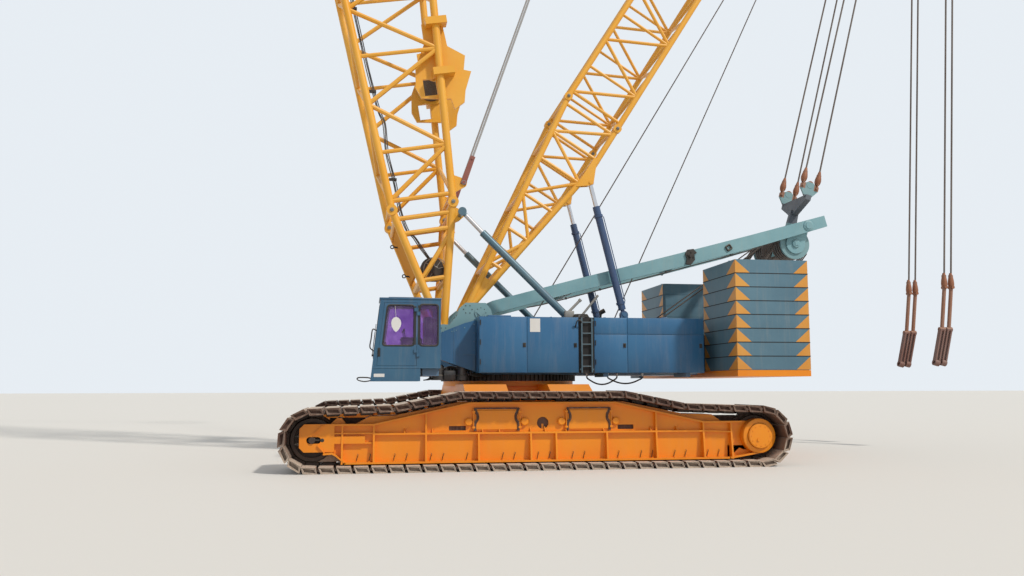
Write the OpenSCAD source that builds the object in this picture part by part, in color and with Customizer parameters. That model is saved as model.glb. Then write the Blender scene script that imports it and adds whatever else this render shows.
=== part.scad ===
// Crawler crane with a lattice boom, a lattice derrick mast and a box-section A-frame.
// Millimetres. X = 0 and Y = 0 is the slewing axis, Z = 0 is the ground.
// The crane's front is -X and its left-hand side, with the cab, is -Y.

/* [Tracks] */
// Overall length of a track over its shoes
track_len = 10400; // [9800:50:11000]
// Distance between the centre lines of the tracks
track_gauge = 8400; // [8100:50:8700]
// Width of a track shoe
shoe_w = 1500; // [1300:50:1600]
// Wanted pitch of the shoes, rounded to a whole number of shoes
shoe_pitch = 330; // [300:10:380]
// Depth of a shoe from its sole to its inner face
shoe_t = 130; // [110:5:145]
// Depth of the link band inside the shoes
link_t = 60; // [40:5:70]
// Width of the link band
link_w = 420; // [360:10:480]
// Outer radius of the track where it goes round an end wheel
end_r = 620; // [580:10:660]
// Height of the sole over the raised middle of the upper run
crown_z = 1550; // [1500:10:1600]
// Half length of the raised middle of the upper run
crown_x = 1700; // [1500:50:1900]
// Distance from the middle to the foot of the upper run's slope
knee_x = 2950; // [2700:50:3200]

/* [Track frames] */
// Distance from a track frame's centre line to the outer face of its side plates
web_y = 340; // [320:5:380]
// Thickness of a side plate
web_t = 40; // [30:5:50]
// Reach of the flanges beyond a side plate
flange_reach = 160; // [120:10:200]
// Thickness of flanges, ledges and ribs
flange_t = 35; // [25:5:40]
// Height of the lower flange's underside
frame_z0 = 155; // [150:5:170]
// Height of the ledge along the side plate
ledge_z = 730; // [680:10:760]
// Half length of the lower flange
frame_foot_x = 3950; // [3850:10:4000]
// Radius of the final drive housing
drive_r = 360; // [320:10:390]
// Radius of a track roller
roller_r = 180; // [150:10:200]
// Number of track rollers in a frame
roller_count = 11; // [8:1:12]

/* [Car body] */
// Distance from the middle to the centre line of a cross beam
cross_x = 950; // [900:10:1100]
// Width of a cross beam
cross_w = 960; // [860:10:1000]
// Height of the top of the car body
body_z = 1700; // [1660:10:1740]
// Outer radius of the slewing ring over its teeth
ring_r = 1700; // [1600:10:1800]
// Height of the slewing ring
ring_h = 150; // [120:5:180]
// Number of teeth on the slewing ring
ring_teeth = 96; // [72:4:120]

/* [Upper frame] */
// Distance from the centre to the middle of a main girder and its pin eyes
girder_y = 1250; // [1200:10:1300]
// Width of a main girder
girder_w = 340; // [320:10:360]
// Width of the slot in the girder that takes the feet of boom and mast
slot_w = 210; // [200:2:216]
// Rear end of the upper frame
frame_rear_x = 6300; // [6200:10:6400]
// Radius of the boom foot pin
boom_pin_r = 90; // [70:5:110]
// Radius of the mast foot pin
mast_pin_r = 75; // [60:5:90]
// Radius of the A-frame pivot pin
a_pin_r = 110; // [90:5:120]

/* [Houses and cab] */
// Distance from the centre to the outer side of a machinery house
house_y = 2300; // [2200:10:2400]
// Front end of a machinery house
house_x0 = -1030; // [-1080:10:-980]
// Rear end of a machinery house
house_x1 = 4350; // [4250:10:4450]
// Height of a house's underside
house_z0 = 1960; // [1945:5:1990]
// Height of a house's roof
house_z1 = 3250; // [3220:10:3260]
// Thickness of a house panel
panel_t = 30; // [20:2:40]
// Distance from the centre to the cab's outer side
cab_y = 3000; // [2950:10:3050]
// Width of the cab
cab_w = 1070; // [1000:10:1100]
// Thickness of a cab wall and of its door
wall_t = 45; // [35:5:60]
// Height of the cab roof
cab_top = 3560; // [3520:10:3600]
// Gap round the cab door
door_gap = 6; // [5:1:10]
// Thickness of the glass
glass_t = 12; // [8:1:14]

/* [Counterweight] */
// Front face of the counterweight
weight_x0 = 4670; // [4600:10:4750]
// Rear face of the counterweight
weight_x1 = 6430; // [6350:10:6500]
// Distance from the centre to the outer side of the counterweight
weight_y = 3500; // [3400:10:3600]
// Distance from the centre to the inner side of a stack
weight_inner_y = 1480; // [1480:10:1700]
// Height of the underside of the base slab
weight_z = 1870; // [1850:5:1900]
// Thickness of the base slab
base_t = 140; // [120:5:160]
// Thickness of a counterweight slab
slab_t = 306; // [280:2:310]
// Joint between two slabs
slab_gap = 8; // [6:1:12]
// Number of slabs in a stack
slab_count = 8; // [5:1:8]

/* [Boom] */
// Length of the boom from its foot pin to its head
boom_len = 36000; // [33000:1000:36000]
// Angle of the boom from the vertical, as parked
boom_lean = 9.5; // [5:0.5:15]
// Length of the boom's foot section
boom_foot_len = 3100; // [3000:50:3200]
// Length along the boom to the end of its tapered section
boom_taper_end = 12000; // [11500:100:12500]
// Depth of the boom at the end of its foot section, between chord centres
boom_d0 = 1490; // [1400:10:1600]
// Full depth of the boom, between chord centres
boom_d1 = 2620; // [2500:10:2700]
// Width of the boom, between chord centres
boom_w = 2500; // [2400:20:2600]
// Length of the boom's head section
boom_head_len = 6000; // [5600:100:6400]
// Radius of a boom chord
boom_chord_r = 95; // [80:5:98]
// Radius of a boom lacing bar
boom_lace_r = 58; // [44:2:60]
// Radius of a head or hook block sheave
sheave_r = 440; // [400:10:460]
// Length of rope between the boom head and the hook block
fall_len = 4600; // [4000:100:5000]

/* [Derrick mast] */
// Length of the mast from its foot pin to its head
mast_len = 27200; // [26400:100:27800]
// Angle of the mast above the horizontal, as parked
mast_angle = 57.8; // [56:0.2:60]
// Length of the mast's foot section
mast_foot_len = 5940; // [5700:20:6200]
// Length of the mast's head section
mast_head_len = 5600; // [5200:100:6000]
// Depth of the mast between chord centres
mast_d = 1480; // [1400:10:1560]
// Radius of a mast chord
mast_chord_r = 75; // [66:2:80]
// Radius of a mast lacing bar
mast_lace_r = 44; // [36:2:48]

/* [A-frame and stays] */
// Length of an A-frame beam from its pivot to its head end
a_len = 9500; // [9400:20:9640]
// Angle of the A-frame above the horizontal, as parked
a_angle = 15.2; // [14.8:0.1:15.6]
// Depth of an A-frame beam at its middle
a_depth = 340; // [320:10:380]
// Radius of a stay rope
stay_r = 24; // [18:1:30]
// Distance from the centre to the mast's stays
stay_y = 620; // [610:5:640]
// Distance between the two ropes of a stay
stay_pair = 400; // [360:10:440]
// Distance from the centre to the boom's stays at the boom head
boom_stay_y = 1050; // [1000:10:1100]
// Distance from the centre to the hanging links
hang_y = 800; // [790:5:830]
// Distance between the two links that hang side by side
hang_pair = 200; // [190:5:230]
// Outer radius of a backstop barrel
barrel_r = 90; // [75:5:95]
// Outer radius of a backstop rod
rod_r = 55; // [45:5:62]
// Distance from the centre to the boom's backstops
stop_y = 1750; // [1740:5:1780]
// Distance from the centre line to an A-frame beam's middle
a_y = 985; // [975:5:990]
// Width of an A-frame beam
a_beam_w = 170; // [150:5:170]

/* [Hidden] */

// Clearance between a shaft and its bore, and between seated faces of two bodies
run_gap = 0.3;
// Clearance between a moving lug and its fork
side_gap = 6;
// Sides of a lacing bar
lace_sides = 8;

// Axes that several pieces share, as [X, Z]
boom_pin = [-1770, 2940];
mast_pin = [-1190, 3480];
a_pin = [-880, 3400];
mast_axis = [cos(mast_angle), sin(mast_angle)];
mast_tip = mast_pin + mast_len * mast_axis;

end_x = track_len / 2 - end_r;
knee_z = 2 * end_r + 60;
hatch_t = 25;
cross_end_y = track_gauge / 2 - web_y - hatch_t;
ring_z = body_z + 80;
deck_z = ring_z + ring_h + run_gap;
cheek_t = (girder_w - slot_w) / 2;
eye_w = slot_w - 2 * side_gap;
inner_z = shoe_t + link_t;
slab_z0 = weight_z + base_t;

// Points of half an upper outline, mirrored to the other end
function both_ends(pts) = concat(pts, [for (i = [len(pts) - 1 : -1 : 0]) [-pts[i][0], pts[i][1]]]);

// The outline of the track's soles, as one closed line of straight runs and two half circles
function arc(cx, cz, r, a0, a1, n) =
    [for (i = [0 : n]) let (a = a0 + (a1 - a0) * i / n) [cx + r * cos(a), cz + r * sin(a)]];
loop_line = concat(
    [[-end_x, 0]],
    arc(end_x, end_r, end_r, -90, 90, 16),
    [[knee_x, knee_z], [crown_x, crown_z], [-crown_x, crown_z], [-knee_x, knee_z]],
    arc(-end_x, end_r, end_r, 90, 270, 16)
);
function run_sum(pts, i) = i == 0 ? 0 : run_sum(pts, i - 1) + norm(pts[i] - pts[i - 1]);
loop_s = [for (i = [0 : len(loop_line) - 1]) run_sum(loop_line, i)];
loop_len = loop_s[len(loop_s) - 1];
loop_x = [for (i = [0 : len(loop_line) - 1]) [loop_s[i], loop_line[i][0]]];
loop_z = [for (i = [0 : len(loop_line) - 1]) [loop_s[i], loop_line[i][1]]];
shoe_count = round(loop_len / shoe_pitch);
pitch = loop_len / shoe_count;
function wrap(s) = s - loop_len * floor(s / loop_len);
function loop_at(s) = [lookup(wrap(s), loop_x), lookup(wrap(s), loop_z)];
// A point on the loop, moved inwards by a depth
function inside(s, depth) =
    let (d = loop_at(s + 20) - loop_at(s - 20), u = d / norm(d)) loop_at(s) + depth * [-u[1], u[0]];

// A block between two opposite corners
module block(a, b) {
    translate(a) cube(b - a);
}

// An outline in X and Z, made into a plate between two Y planes
module plate(y0, y1) {
    translate([0, y1, 0]) rotate([90, 0, 0]) linear_extrude(y1 - y0) children();
}

// A shaft along Y at an [X, Z] place
module shaft(at, r, y0, y1, sides = 48) {
    translate([at[0], y1, at[1]]) rotate([90, 0, 0]) cylinder(h = y1 - y0, r = r, $fn = sides);
}

// A bar from one point to another
module bar(a, b, r, sides = lace_sides) {
    d = b - a;
    translate(a) rotate([0, acos(d[2] / norm(d)), atan2(d[1], d[0])])
        cylinder(h = norm(d), r = r, $fn = sides);
}

// The same thing on the left and on the right
module both_sides() {
    children();
    mirror([0, 1, 0]) children();
}

// A stretch of lattice along Z: depth along X, width along Y, zigzag bars on four faces
module lattice(z0, z1, d0, d1, w0, w1, bays, chord_r, lace_r, skip_rear = [], chord_sides = 32) {
    function corner(sx, sy, t) =
        [sx * (d0 + (d1 - d0) * t) / 2, sy * (w0 + (w1 - w0) * t) / 2, z0 + (z1 - z0) * t];
    end_t = chord_r * 2.2 / (z1 - z0);
    function level(i) = end_t + (1 - 2 * end_t) * i / bays;
    for (sx = [-1, 1]) {
        for (sy = [-1, 1]) {
            bar(corner(sx, sy, 0), corner(sx, sy, 1), chord_r, chord_sides);
        }
    }
    for (i = [0 : bays - 1]) {
        turn = i % 2 == 0 ? 1 : -1;
        for (side = [-1, 1]) {
            bar(corner(-turn, side, level(i)), corner(turn, side, level(i + 1)), lace_r);
        }
        bar(corner(-1, -turn, level(i)), corner(-1, turn, level(i + 1)), lace_r);
        if (i % 2 == 0 && i < bays - 1) {
            for (side = [-1, 1]) {
                bar(corner(-1, side, level(i + 1)), corner(1, side, level(i + 1)), lace_r * 0.9);
            }
        }
        if (len(search(i, skip_rear)) == 0) {
            bar(corner(1, -turn, level(i)), corner(1, turn, level(i + 1)), lace_r);
        }
    }
    for (t = [level(0), level(bays)]) {
        for (side = [-1, 1]) {
            bar(corner(-1, side, t), corner(1, side, t), lace_r);
        }
        bar(corner(-1, -1, t), corner(-1, 1, t), lace_r);
        if (t < 0.5 || len(search(bays, skip_rear)) == 0) {
            bar(corner(1, -1, t), corner(1, 1, t), lace_r);
        }
    }
}

// Pinned eyes where two lattice sections meet, at the lower section's top corners
module joint_eyes(z, d, w, r, eye_r) {
    for (sx = [-1, 1]) {
        for (sy = [-1, 1]) {
            translate([sx * d / 2, sy * w / 2, z]) rotate([90, 0, 0])
                cylinder(h = 2.5 * r, r = eye_r, center = true, $fn = 32);
        }
    }
}

module in_boom() {
    translate([boom_pin[0], 0, boom_pin[1]]) rotate([0, -boom_lean, 0]) children();
}

module in_mast() {
    translate([mast_pin[0], 0, mast_pin[1]]) rotate([0, 90 - mast_angle, 0]) children();
}

module in_a_frame() {
    translate([a_pin[0], 0, a_pin[1]]) rotate([0, -a_angle, 0]) children();
}

// Undercarriage

module carbody() {
    beam_z = ledge_z + flange_t / 2 + 8;
    beam = [
        [-cross_end_y, beam_z], [-1500, 600], [1500, 600], [cross_end_y, beam_z],
        [cross_end_y, beam_z + 450], [2700, body_z], [-2700, body_z], [-cross_end_y, beam_z + 450]
    ];
    color("orange") {
        for (sx = [-1, 1]) {
            translate([sx * cross_x - cross_w / 2, 0, 0]) rotate([90, 0, 90])
                linear_extrude(cross_w) polygon(beam);
        }
        block([-cross_x, -1550, 620], [cross_x, 1550, body_z]);
        translate([0, 0, body_z - 40]) cylinder(h = ring_z - body_z + 40, r = ring_r - 60, $fn = 96);
    }
}

module slew_ring() {
    tooth = 360 / ring_teeth;
    root_r = ring_r - 45;
    flank = [[0, root_r], [0.4, root_r], [0.55, ring_r], [0.85, ring_r]];
    profile = [for (i = [0 : ring_teeth - 1]) for (k = flank)
        k[1] * [cos((i + k[0]) * tooth), sin((i + k[0]) * tooth)]];
    color("dimgray") translate([0, 0, ring_z]) difference() {
        linear_extrude(ring_h) polygon(profile);
        translate([0, 0, -1]) cylinder(h = ring_h + 2, r = ring_r - 320, $fn = 96);
    }
}

frame_top = [[-4230, 930], [-3390, 930], [-2370, 1150], [-1500, 1340]];

module frame_outline() {
    foot = [[frame_foot_x, frame_z0], [-frame_foot_x, frame_z0], [-4230, 390]];
    polygon(concat(foot, both_ends(frame_top), [[4230, 390]]));
}

// A thin strip that follows a line of points
module strip(pts, t) {
    polygon(concat(pts, [for (i = [len(pts) - 1 : -1 : 0]) [pts[i][0], pts[i][1] - t]]));
}

// A rib between two heights, full reach at its foot and a third of it at its head
module rib(x, z0, z1, reach0, reach1) {
    translate([x - flange_t / 2, 0, 0]) rotate([90, 0, 90]) linear_extrude(flange_t)
        polygon([[-web_y + 1, z0], [-web_y - reach0, z0], [-web_y - reach1, z1], [-web_y + 1, z1]]);
}

// Full-height ribs: [place along the frame, height of their head]
full_ribs = [[-4000, 925], [-3390, 925], [-2370, 1140], [2370, 1140], [3390, 925], [4000, 925]];
low_ribs = [-1320, -260, 260, 1320];

module frame_side() {
    plate(-web_y, -web_y + web_t) difference() {
        frame_outline();
        translate([0, 920]) circle(r = 120, $fn = 40);
        for (sx = [-1, 1]) {
            translate([sx * 1740 - 170, ledge_z + 50]) square([340, 90]);
        }
    }
    plate(-web_y - flange_reach, -web_y + 1) {
        polygon([[-frame_foot_x, frame_z0], [frame_foot_x, frame_z0],
            [frame_foot_x, frame_z0 + flange_t], [-frame_foot_x, frame_z0 + flange_t]]);
    }
    plate(-web_y - flange_reach * 0.6, -web_y + 1) {
        translate([-3390, ledge_z - flange_t / 2]) square([6780, flange_t]);
        strip(both_ends(frame_top), flange_t);
    }
    for (r = full_ribs) {
        rib(r[0], frame_z0, ledge_z, flange_reach, flange_reach * 0.6);
        rib(r[0], ledge_z, r[1], flange_reach * 0.6, flange_reach * 0.6);
    }
    for (x = low_ribs) {
        rib(x, frame_z0, ledge_z, flange_reach, flange_reach * 0.6);
    }
    for (sx = [-1, 1]) {
        plate(-web_y - hatch_t, -web_y + 1) translate([sx * cross_x - cross_w / 2, ledge_z + 40])
            square([cross_w, 430]);
        for (e = [-1, 1]) {
            shaft([sx * cross_x + e * (cross_w / 2 + 60), 950], 45, -web_y - 70, -web_y + 1, 24);
        }
    }
}

// One track frame, with its outer side at -Y
module track_frame() {
    rail_top = [[-knee_x, knee_z], [-crown_x, crown_z], [crown_x, crown_z], [knee_x, knee_z]];
    rail = [for (p = rail_top) [p[0], p[1] - inner_z - 16]];
    drive_arm = [[4150, 390], [4300, 330], [end_x, 330], [end_x, 900], [4300, 930], [4150, 930]];
    bracket = [[-4820, 480], [-4730, 390], [-4150, 390], [-4150, 930], [-4730, 930], [-4820, 840]];
    color("orange") difference() {
        union() {
            both_sides() frame_side();
            plate(-web_y + web_t - 1, web_y - web_t + 1) strip(rail, 105);
            for (x = [-3390, -1320, 0, 1320, 3390]) {
                block([x - 20, -web_y + web_t - 1, 620], [x + 20, web_y - web_t + 1, 900]);
            }
            both_sides() plate(-web_y - 90, -web_y + web_t) difference() {
                polygon(bracket);
                hull() {
                    for (x = [-end_x - 40, -end_x + 110]) {
                        translate([x, end_r]) circle(r = 65, $fn = 24);
                    }
                }
            }
            both_sides() block([-4150, -web_y - 90, end_r - 70], [-3560, -web_y + 1, end_r + 70]);
            shaft([end_x, end_r], drive_r, -web_y - flange_reach, -web_y + web_t, 64);
            shaft([end_x, end_r], drive_r * 0.72, -web_y - flange_reach - 70, -web_y, 64);
            shaft([end_x, end_r], drive_r * 0.9, web_y - web_t, web_y + 60, 64);
            shaft([end_x, end_r], 230, web_y, web_y + 420, 48);
            for (y = [-web_y, web_y - web_t]) {
                plate(y, y + web_t) polygon(drive_arm);
            }
        }
        shaft([end_x, end_r], 110 + run_gap, -web_y - 60, web_y - web_t + 40, 48);
    }
}

module track_frame_left() {
    translate([0, -track_gauge / 2, 0]) track_frame();
}

module track_frame_right() {
    mirror([0, 1, 0]) track_frame_left();
}

// A track: soles with a notch between shoes, and a band of links with guide teeth inside
module track() {
    notch = 35;
    sole = [for (i = [0 : shoe_count - 1]) each [
        inside((i - 0.46) * pitch, notch), inside((i - 0.46) * pitch, 0),
        inside((i + 0.46) * pitch, 0), inside((i + 0.46) * pitch, notch)]];
    back = [for (i = [0 : shoe_count - 1]) inside(i * pitch, shoe_t)];
    link_outer = [for (i = [0 : shoe_count - 1]) inside(i * pitch, shoe_t - 30)];
    link_inner = [for (i = [0 : shoe_count - 1]) each [
        inside((i - 0.36) * pitch, inner_z - 30), inside((i - 0.28) * pitch, inner_z),
        inside((i + 0.28) * pitch, inner_z), inside((i + 0.36) * pitch, inner_z - 30)]];
    color("rosybrown") {
        plate(-shoe_w / 2, shoe_w / 2) difference() {
            polygon(sole);
            polygon(back);
        }
        plate(-link_w / 2, link_w / 2) difference() {
            polygon(link_outer);
            polygon(link_inner);
        }
    }
}

module track_left() {
    translate([0, -track_gauge / 2, 0]) track();
}

module track_right() {
    translate([0, track_gauge / 2, 0]) track();
}

wheel_r = end_r - inner_z - 14;

// A spoked end wheel on its axle
module end_wheel(at, axle_r) {
    half_w = web_y - web_t - 40;
    difference() {
        union() {
            shaft(at, wheel_r, -half_w, half_w, 64);
            shaft(at, axle_r * 1.7, -web_y + web_t, web_y - web_t, 48);
        }
        for (sy = [-1, 1]) {
            translate([at[0], sy * half_w, at[1]]) rotate([90, 0, 0]) difference() {
                cylinder(h = 180, r = wheel_r - 70, center = true, $fn = 64);
                cylinder(h = 182, r = axle_r * 2.4, center = true, $fn = 48);
            }
        }
    }
}

module idlers() {
    color("saddlebrown") both_sides() translate([0, -track_gauge / 2, 0]) {
        end_wheel([-end_x, end_r], 60);
        shaft([-end_x, end_r], 60, -web_y - 120, web_y + 120, 32);
    }
}

module sprockets() {
    teeth = 11;
    at = [end_x, end_r];
    color("saddlebrown") both_sides() translate([0, -track_gauge / 2, 0]) {
        end_wheel(at, 110);
        shaft(at, 110, -web_y - 30, web_y - web_t + 30, 48);
        for (i = [0 : teeth - 1]) {
            translate([at[0], 0, at[1]]) rotate([0, i * 360 / teeth, 0])
                block([wheel_r - 60, link_w / 2 + 10, -45], [wheel_r + 45, link_w / 2 + 45, 45]);
        }
    }
}

module rollers() {
    half_w = link_w / 2 + 30;
    first = -frame_foot_x + 350;
    step = -2 * first / (roller_count - 1);
    color("saddlebrown") both_sides() translate([0, -track_gauge / 2, 0]) {
        for (i = [0 : roller_count - 1]) {
            at = [first + i * step, inner_z + roller_r + run_gap];
            shaft(at, roller_r, -half_w, half_w, 40);
            shaft(at, 60, -web_y + web_t, web_y - web_t, 32);
        }
    }
}

// Upper works

girder_side = [
    [-1980, 2960], [-1900, 2720], [-1950, 2620], [-1900, 2320], [-1000, deck_z], [4500, deck_z],
    [4500, slab_z0], [frame_rear_x, slab_z0], [frame_rear_x, 2420], [4500, 2980], [0, 3080],
    [-560, 3220], [-640, 3500], [-760, 3640], [-1240, 3640], [-1380, 3520], [-1450, 3330],
    [-1620, 3120], [-1900, 3100]
];

module girder() {
    y0 = girder_y - girder_w / 2;
    y1 = girder_y + girder_w / 2;
    difference() {
        union() {
            plate(-y1, -y0) polygon(girder_side);
            shaft(boom_pin, boom_pin_r + 90, -y1, -y0, 48);
        }
        block([-2100, -girder_y - slot_w / 2, 2680], [-590, -girder_y + slot_w / 2, 3800]);
        shaft(boom_pin, boom_pin_r + 130, -girder_y - slot_w / 2, -girder_y + slot_w / 2, 48);
    }
    shaft(boom_pin, boom_pin_r, -y1 - 30, -y0 + 1, 48);
    shaft(mast_pin, mast_pin_r, -y1 + 1, -y0 + 30, 48);
    shaft(a_pin, a_pin_r, -y1 - 1, -a_y + a_beam_w / 2 + 15, 48);
    shaft(a_pin, a_pin_r + 35, -y1 - 25, -y1 + 1, 48);
    plate(-y1 - 50, -y1) translate(a_pin) rotate(45) square(130, center = true);
}

// Lower ends of the backstops, as [X, Z], and the boom backstop's upper pin and the end of its barrel
boom_stop_low = [1095, 3361];
boom_stop_pin = [-1370, 5780];
boom_stop_rod = [-890, 5290];
mast_stop_low = [2700, 3400];
// Half the space between the two ears that hold a backstop's end
ear_gap = 61;
ear_t = 24;

// The pinned fork of a mast backstop, on top of the girder
module mast_stop_fork() {
    at = mast_stop_low;
    for (y = [-girder_y - ear_gap - ear_t, -girder_y + ear_gap]) {
        plate(y, y + ear_t) polygon([[at[0] - 150, 2950], [at[0] + 150, 2950],
            [at[0] + 70, at[1] + 60], [at[0] - 70, at[1] + 60]]);
    }
    shaft(at, 50, -girder_y - ear_gap - ear_t - 20, -girder_y + ear_gap + ear_t + 20, 32);
}

// The open saddle on the roof that a boom backstop's lower end presses on
module boom_stop_saddle() {
    at = boom_stop_low;
    half = barrel_r + 20;
    y1 = girder_y + girder_w / 2;
    v = boom_stop_rod - at;
    translate([at[0], 0, at[1]]) rotate([0, 90 - atan2(v[1], v[0]), 0])
        block([-100, -stop_y - half - ear_t, -run_gap - 25], [100, -stop_y + half + ear_t, -run_gap]);
    for (y = [-stop_y - half - ear_t, -stop_y + half]) {
        plate(y, y + ear_t) polygon([[at[0] - 50, house_z1], [at[0] + 230, house_z1],
            [at[0] + 140, at[1] + 70], [at[0] + 50, at[1] + 70]]);
    }
    block([at[0] - 50, -stop_y - half - ear_t, house_z1], [at[0] + 230, -y1 + 60, house_z1 + 20]);
    block([at[0] - 50, -y1, 2900], [at[0] + 230, -y1 + 60, house_z1 + 20]);
}

module upper_frame() {
    y0 = girder_y - girder_w / 2;
    y1 = girder_y + girder_w / 2;
    color("steelblue") {
        both_sides() {
            girder();
            mast_stop_fork();
            boom_stop_saddle();
            for (x = [1900, 3900]) {
                block([x, -house_y + 60, house_z0 - 90], [x + 120, -y1 + 1, house_z0 - run_gap]);
            }
        }
        block([-1000, -y0 - 1, deck_z], [4500, y0 + 1, deck_z + 110]);
        translate([0, 0, deck_z]) cylinder(h = house_z0 - deck_z - run_gap, r = ring_r - 80, $fn = 96);
        block([4400, -y0 - 1, slab_z0], [frame_rear_x, y0 + 1, slab_z0 + 100]);
        for (x = [-1000, 4400]) {
            block([x, -y0 - 1, deck_z + 1], [x + 100, y0 + 1, 2700]);
        }
        for (x = [-800, 1300, 2900]) {
            block([x, -y0 - 1, deck_z + 1], [x + 60, y0 + 1, 2300]);
        }
        block([-2350, -girder_y - girder_w / 2, deck_z + 6], [-1050, -y0, cab_floor]);
        block([-2350, -cab_y + 100, cab_floor - 165], [-1990, -y0, cab_floor]);
    }
}

module front_covers() {
    cover = [[-1850, 2910], [-1850, 2270], [-1070, 2000], [-1040, 2000], [-1040, 3200], [-1300, 3130]];
    y1 = girder_y + girder_w / 2;
    color("steelblue") both_sides() plate(-y1 - 330, -y1 - 250) polygon(cover);
    color("steelblue") both_sides() {
        for (x = [-1820, -1100]) {
            block([x, -y1 - 251, 2420], [x + 40, -y1, 2560]);
        }
    }
}

module house(recess) {
    y0 = girder_y + girder_w / 2 + 5;
    color("steelblue") difference() {
        block([house_x0, -house_y, house_z0], [house_x1, -y0, house_z1]);
        difference() {
            block([house_x0 + panel_t, -house_y + panel_t, house_z0 + panel_t],
                [house_x1 - panel_t, -y0 - panel_t, house_z1 - panel_t]);
            if (recess) {
                block([1310, -house_y, house_z0], [1660, -house_y + 400 + panel_t, house_z1]);
            }
        }
        if (recess) {
            block([1340, -house_y - 1, house_z0 + 40], [1630, -house_y + 400, house_z1 - 40]);
        }
    }
}

module house_left() {
    house(true);
}

module house_right() {
    mirror([0, 1, 0]) house(false);
}

module engine_block() {
    color("dimgray")
        block([2100, girder_y + 270, house_z0 + panel_t], [3900, house_y - 120, house_z0 + 1050]);
}

// Winches on the deck: [X of the shaft, Z of the shaft, flange radius, drum radius]
winches = [[-200, 2750, 530, 380], [900, 2740, 530, 380], [2150, 2740, 530, 360], [3500, 2620, 520, 340]];

module winch_drums() {
    y_end = girder_y - girder_w / 2;
    color("dimgray") for (w = winches) {
        shaft([w[0], w[1]], w[3], -y_end + 120, y_end - 120, 64);
        shaft([w[0], w[1]], 110, -y_end, y_end, 32);
        for (sy = [-1, 1]) {
            shaft([w[0], w[1]], w[2], sy * (y_end - 150) - 20, sy * (y_end - 150) + 20, 64);
        }
    }
}

module ladder() {
    x0 = 1350;
    x1 = 1620;
    color("slategray") {
        for (x = [x0, x1 - 30]) {
            block([x, -house_y - 70, house_z0 + 10], [x + 30, -house_y - 30, house_z1 - 10]);
        }
        for (i = [0 : 4]) {
            translate([x0 + 1, -house_y - 50, house_z0 + 150 + i * 255]) rotate([0, 90, 0])
                cylinder(h = x1 - x0 - 2, r = 14, $fn = 12);
        }
        for (z = [house_z0 + 60, house_z1 - 90]) {
            for (x = [x0 - 25, x1 - 5]) {
                block([x, -house_y - 60, z], [x + 30, -house_y, z + 40]);
            }
        }
    }
}

// The lower sheaves of the A-frame's hoist, between the counterweight stacks
deck_sheave = [5500, 2700];

module deck_sheaves() {
    foot_z = slab_z0 + 100 - deck_sheave[1];
    color("slategray") both_sides() {
        for (y = [-900, -760, -620, -480]) {
            shaft(deck_sheave, 330, y, y + 70, 48);
        }
        shaft(deck_sheave, 80, -960, -330, 32);
        for (y = [-960, -350]) {
            plate(y, y + 30) translate(deck_sheave)
                polygon([[-260, foot_z], [260, foot_z], [110, 120], [-110, 120]]);
        }
    }
}

module counterweight_base() {
    color("orange") {
        block([weight_x0, -weight_y, weight_z], [weight_x1, weight_y, slab_z0]);
    }
}

// The outline of a slab, seen from above, with its inner front corner taken off
module counterweight_left() {
    cut = 60;
    outline = [[weight_x0, -weight_y], [weight_x1, -weight_y], [weight_x1, -weight_inner_y],
        [weight_x0 + cut, -weight_inner_y], [weight_x0, -weight_inner_y - cut]];
    color("steelblue") {
        for (i = [0 : slab_count - 1]) {
            z = slab_z0 + i * (slab_t + slab_gap);
            translate([0, 0, z + slab_gap]) linear_extrude(slab_t) polygon(outline);
            translate([0, 0, z]) linear_extrude(slab_gap + 1) offset(delta = -25) polygon(outline);
        }
        top = slab_z0 + slab_count * (slab_t + slab_gap);
        mid_y = (weight_y + weight_inner_y) / 2;
        for (x = [weight_x0 + 350, weight_x1 - 350]) {
            plate(-mid_y - 20, -mid_y + 20) difference() {
                translate([x - 70, top - 1]) square([140, 110]);
                translate([x, top + 60]) circle(r = 28, $fn = 24);
            }
        }
    }
}

module counterweight_right() {
    mirror([0, 1, 0]) counterweight_left();
}

// Cab

cab_front = -3470;
cab_rear = -1960;
cab_z0 = 1770;
cab_floor = 2050;
cab_inner_y = cab_y - cab_w;
// X of the cab's sloping front at a height
function front_x(z) = cab_front + 200 * (z - cab_z0) / (cab_top - cab_z0);
door_x1 = -2480;
door_z0 = cab_floor + 50;
door_z1 = cab_top - 80;
door_front = 90;
pane_z0 = 2540;
front_pane_z0 = 2300;
// How far the glass lies behind the outer face of its wall
glass_in = 15;
pane_z1 = cab_top - 120;
hinge_at = [door_x1 + 8, -cab_y - 20];

// A panel between two heights, whose front edge follows the sloping front
module sloped(in0, x1, z0, z1) {
    polygon([[front_x(z0) + in0, z0], [x1, z0], [x1, z1], [front_x(z1) + in0, z1]]);
}

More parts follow.
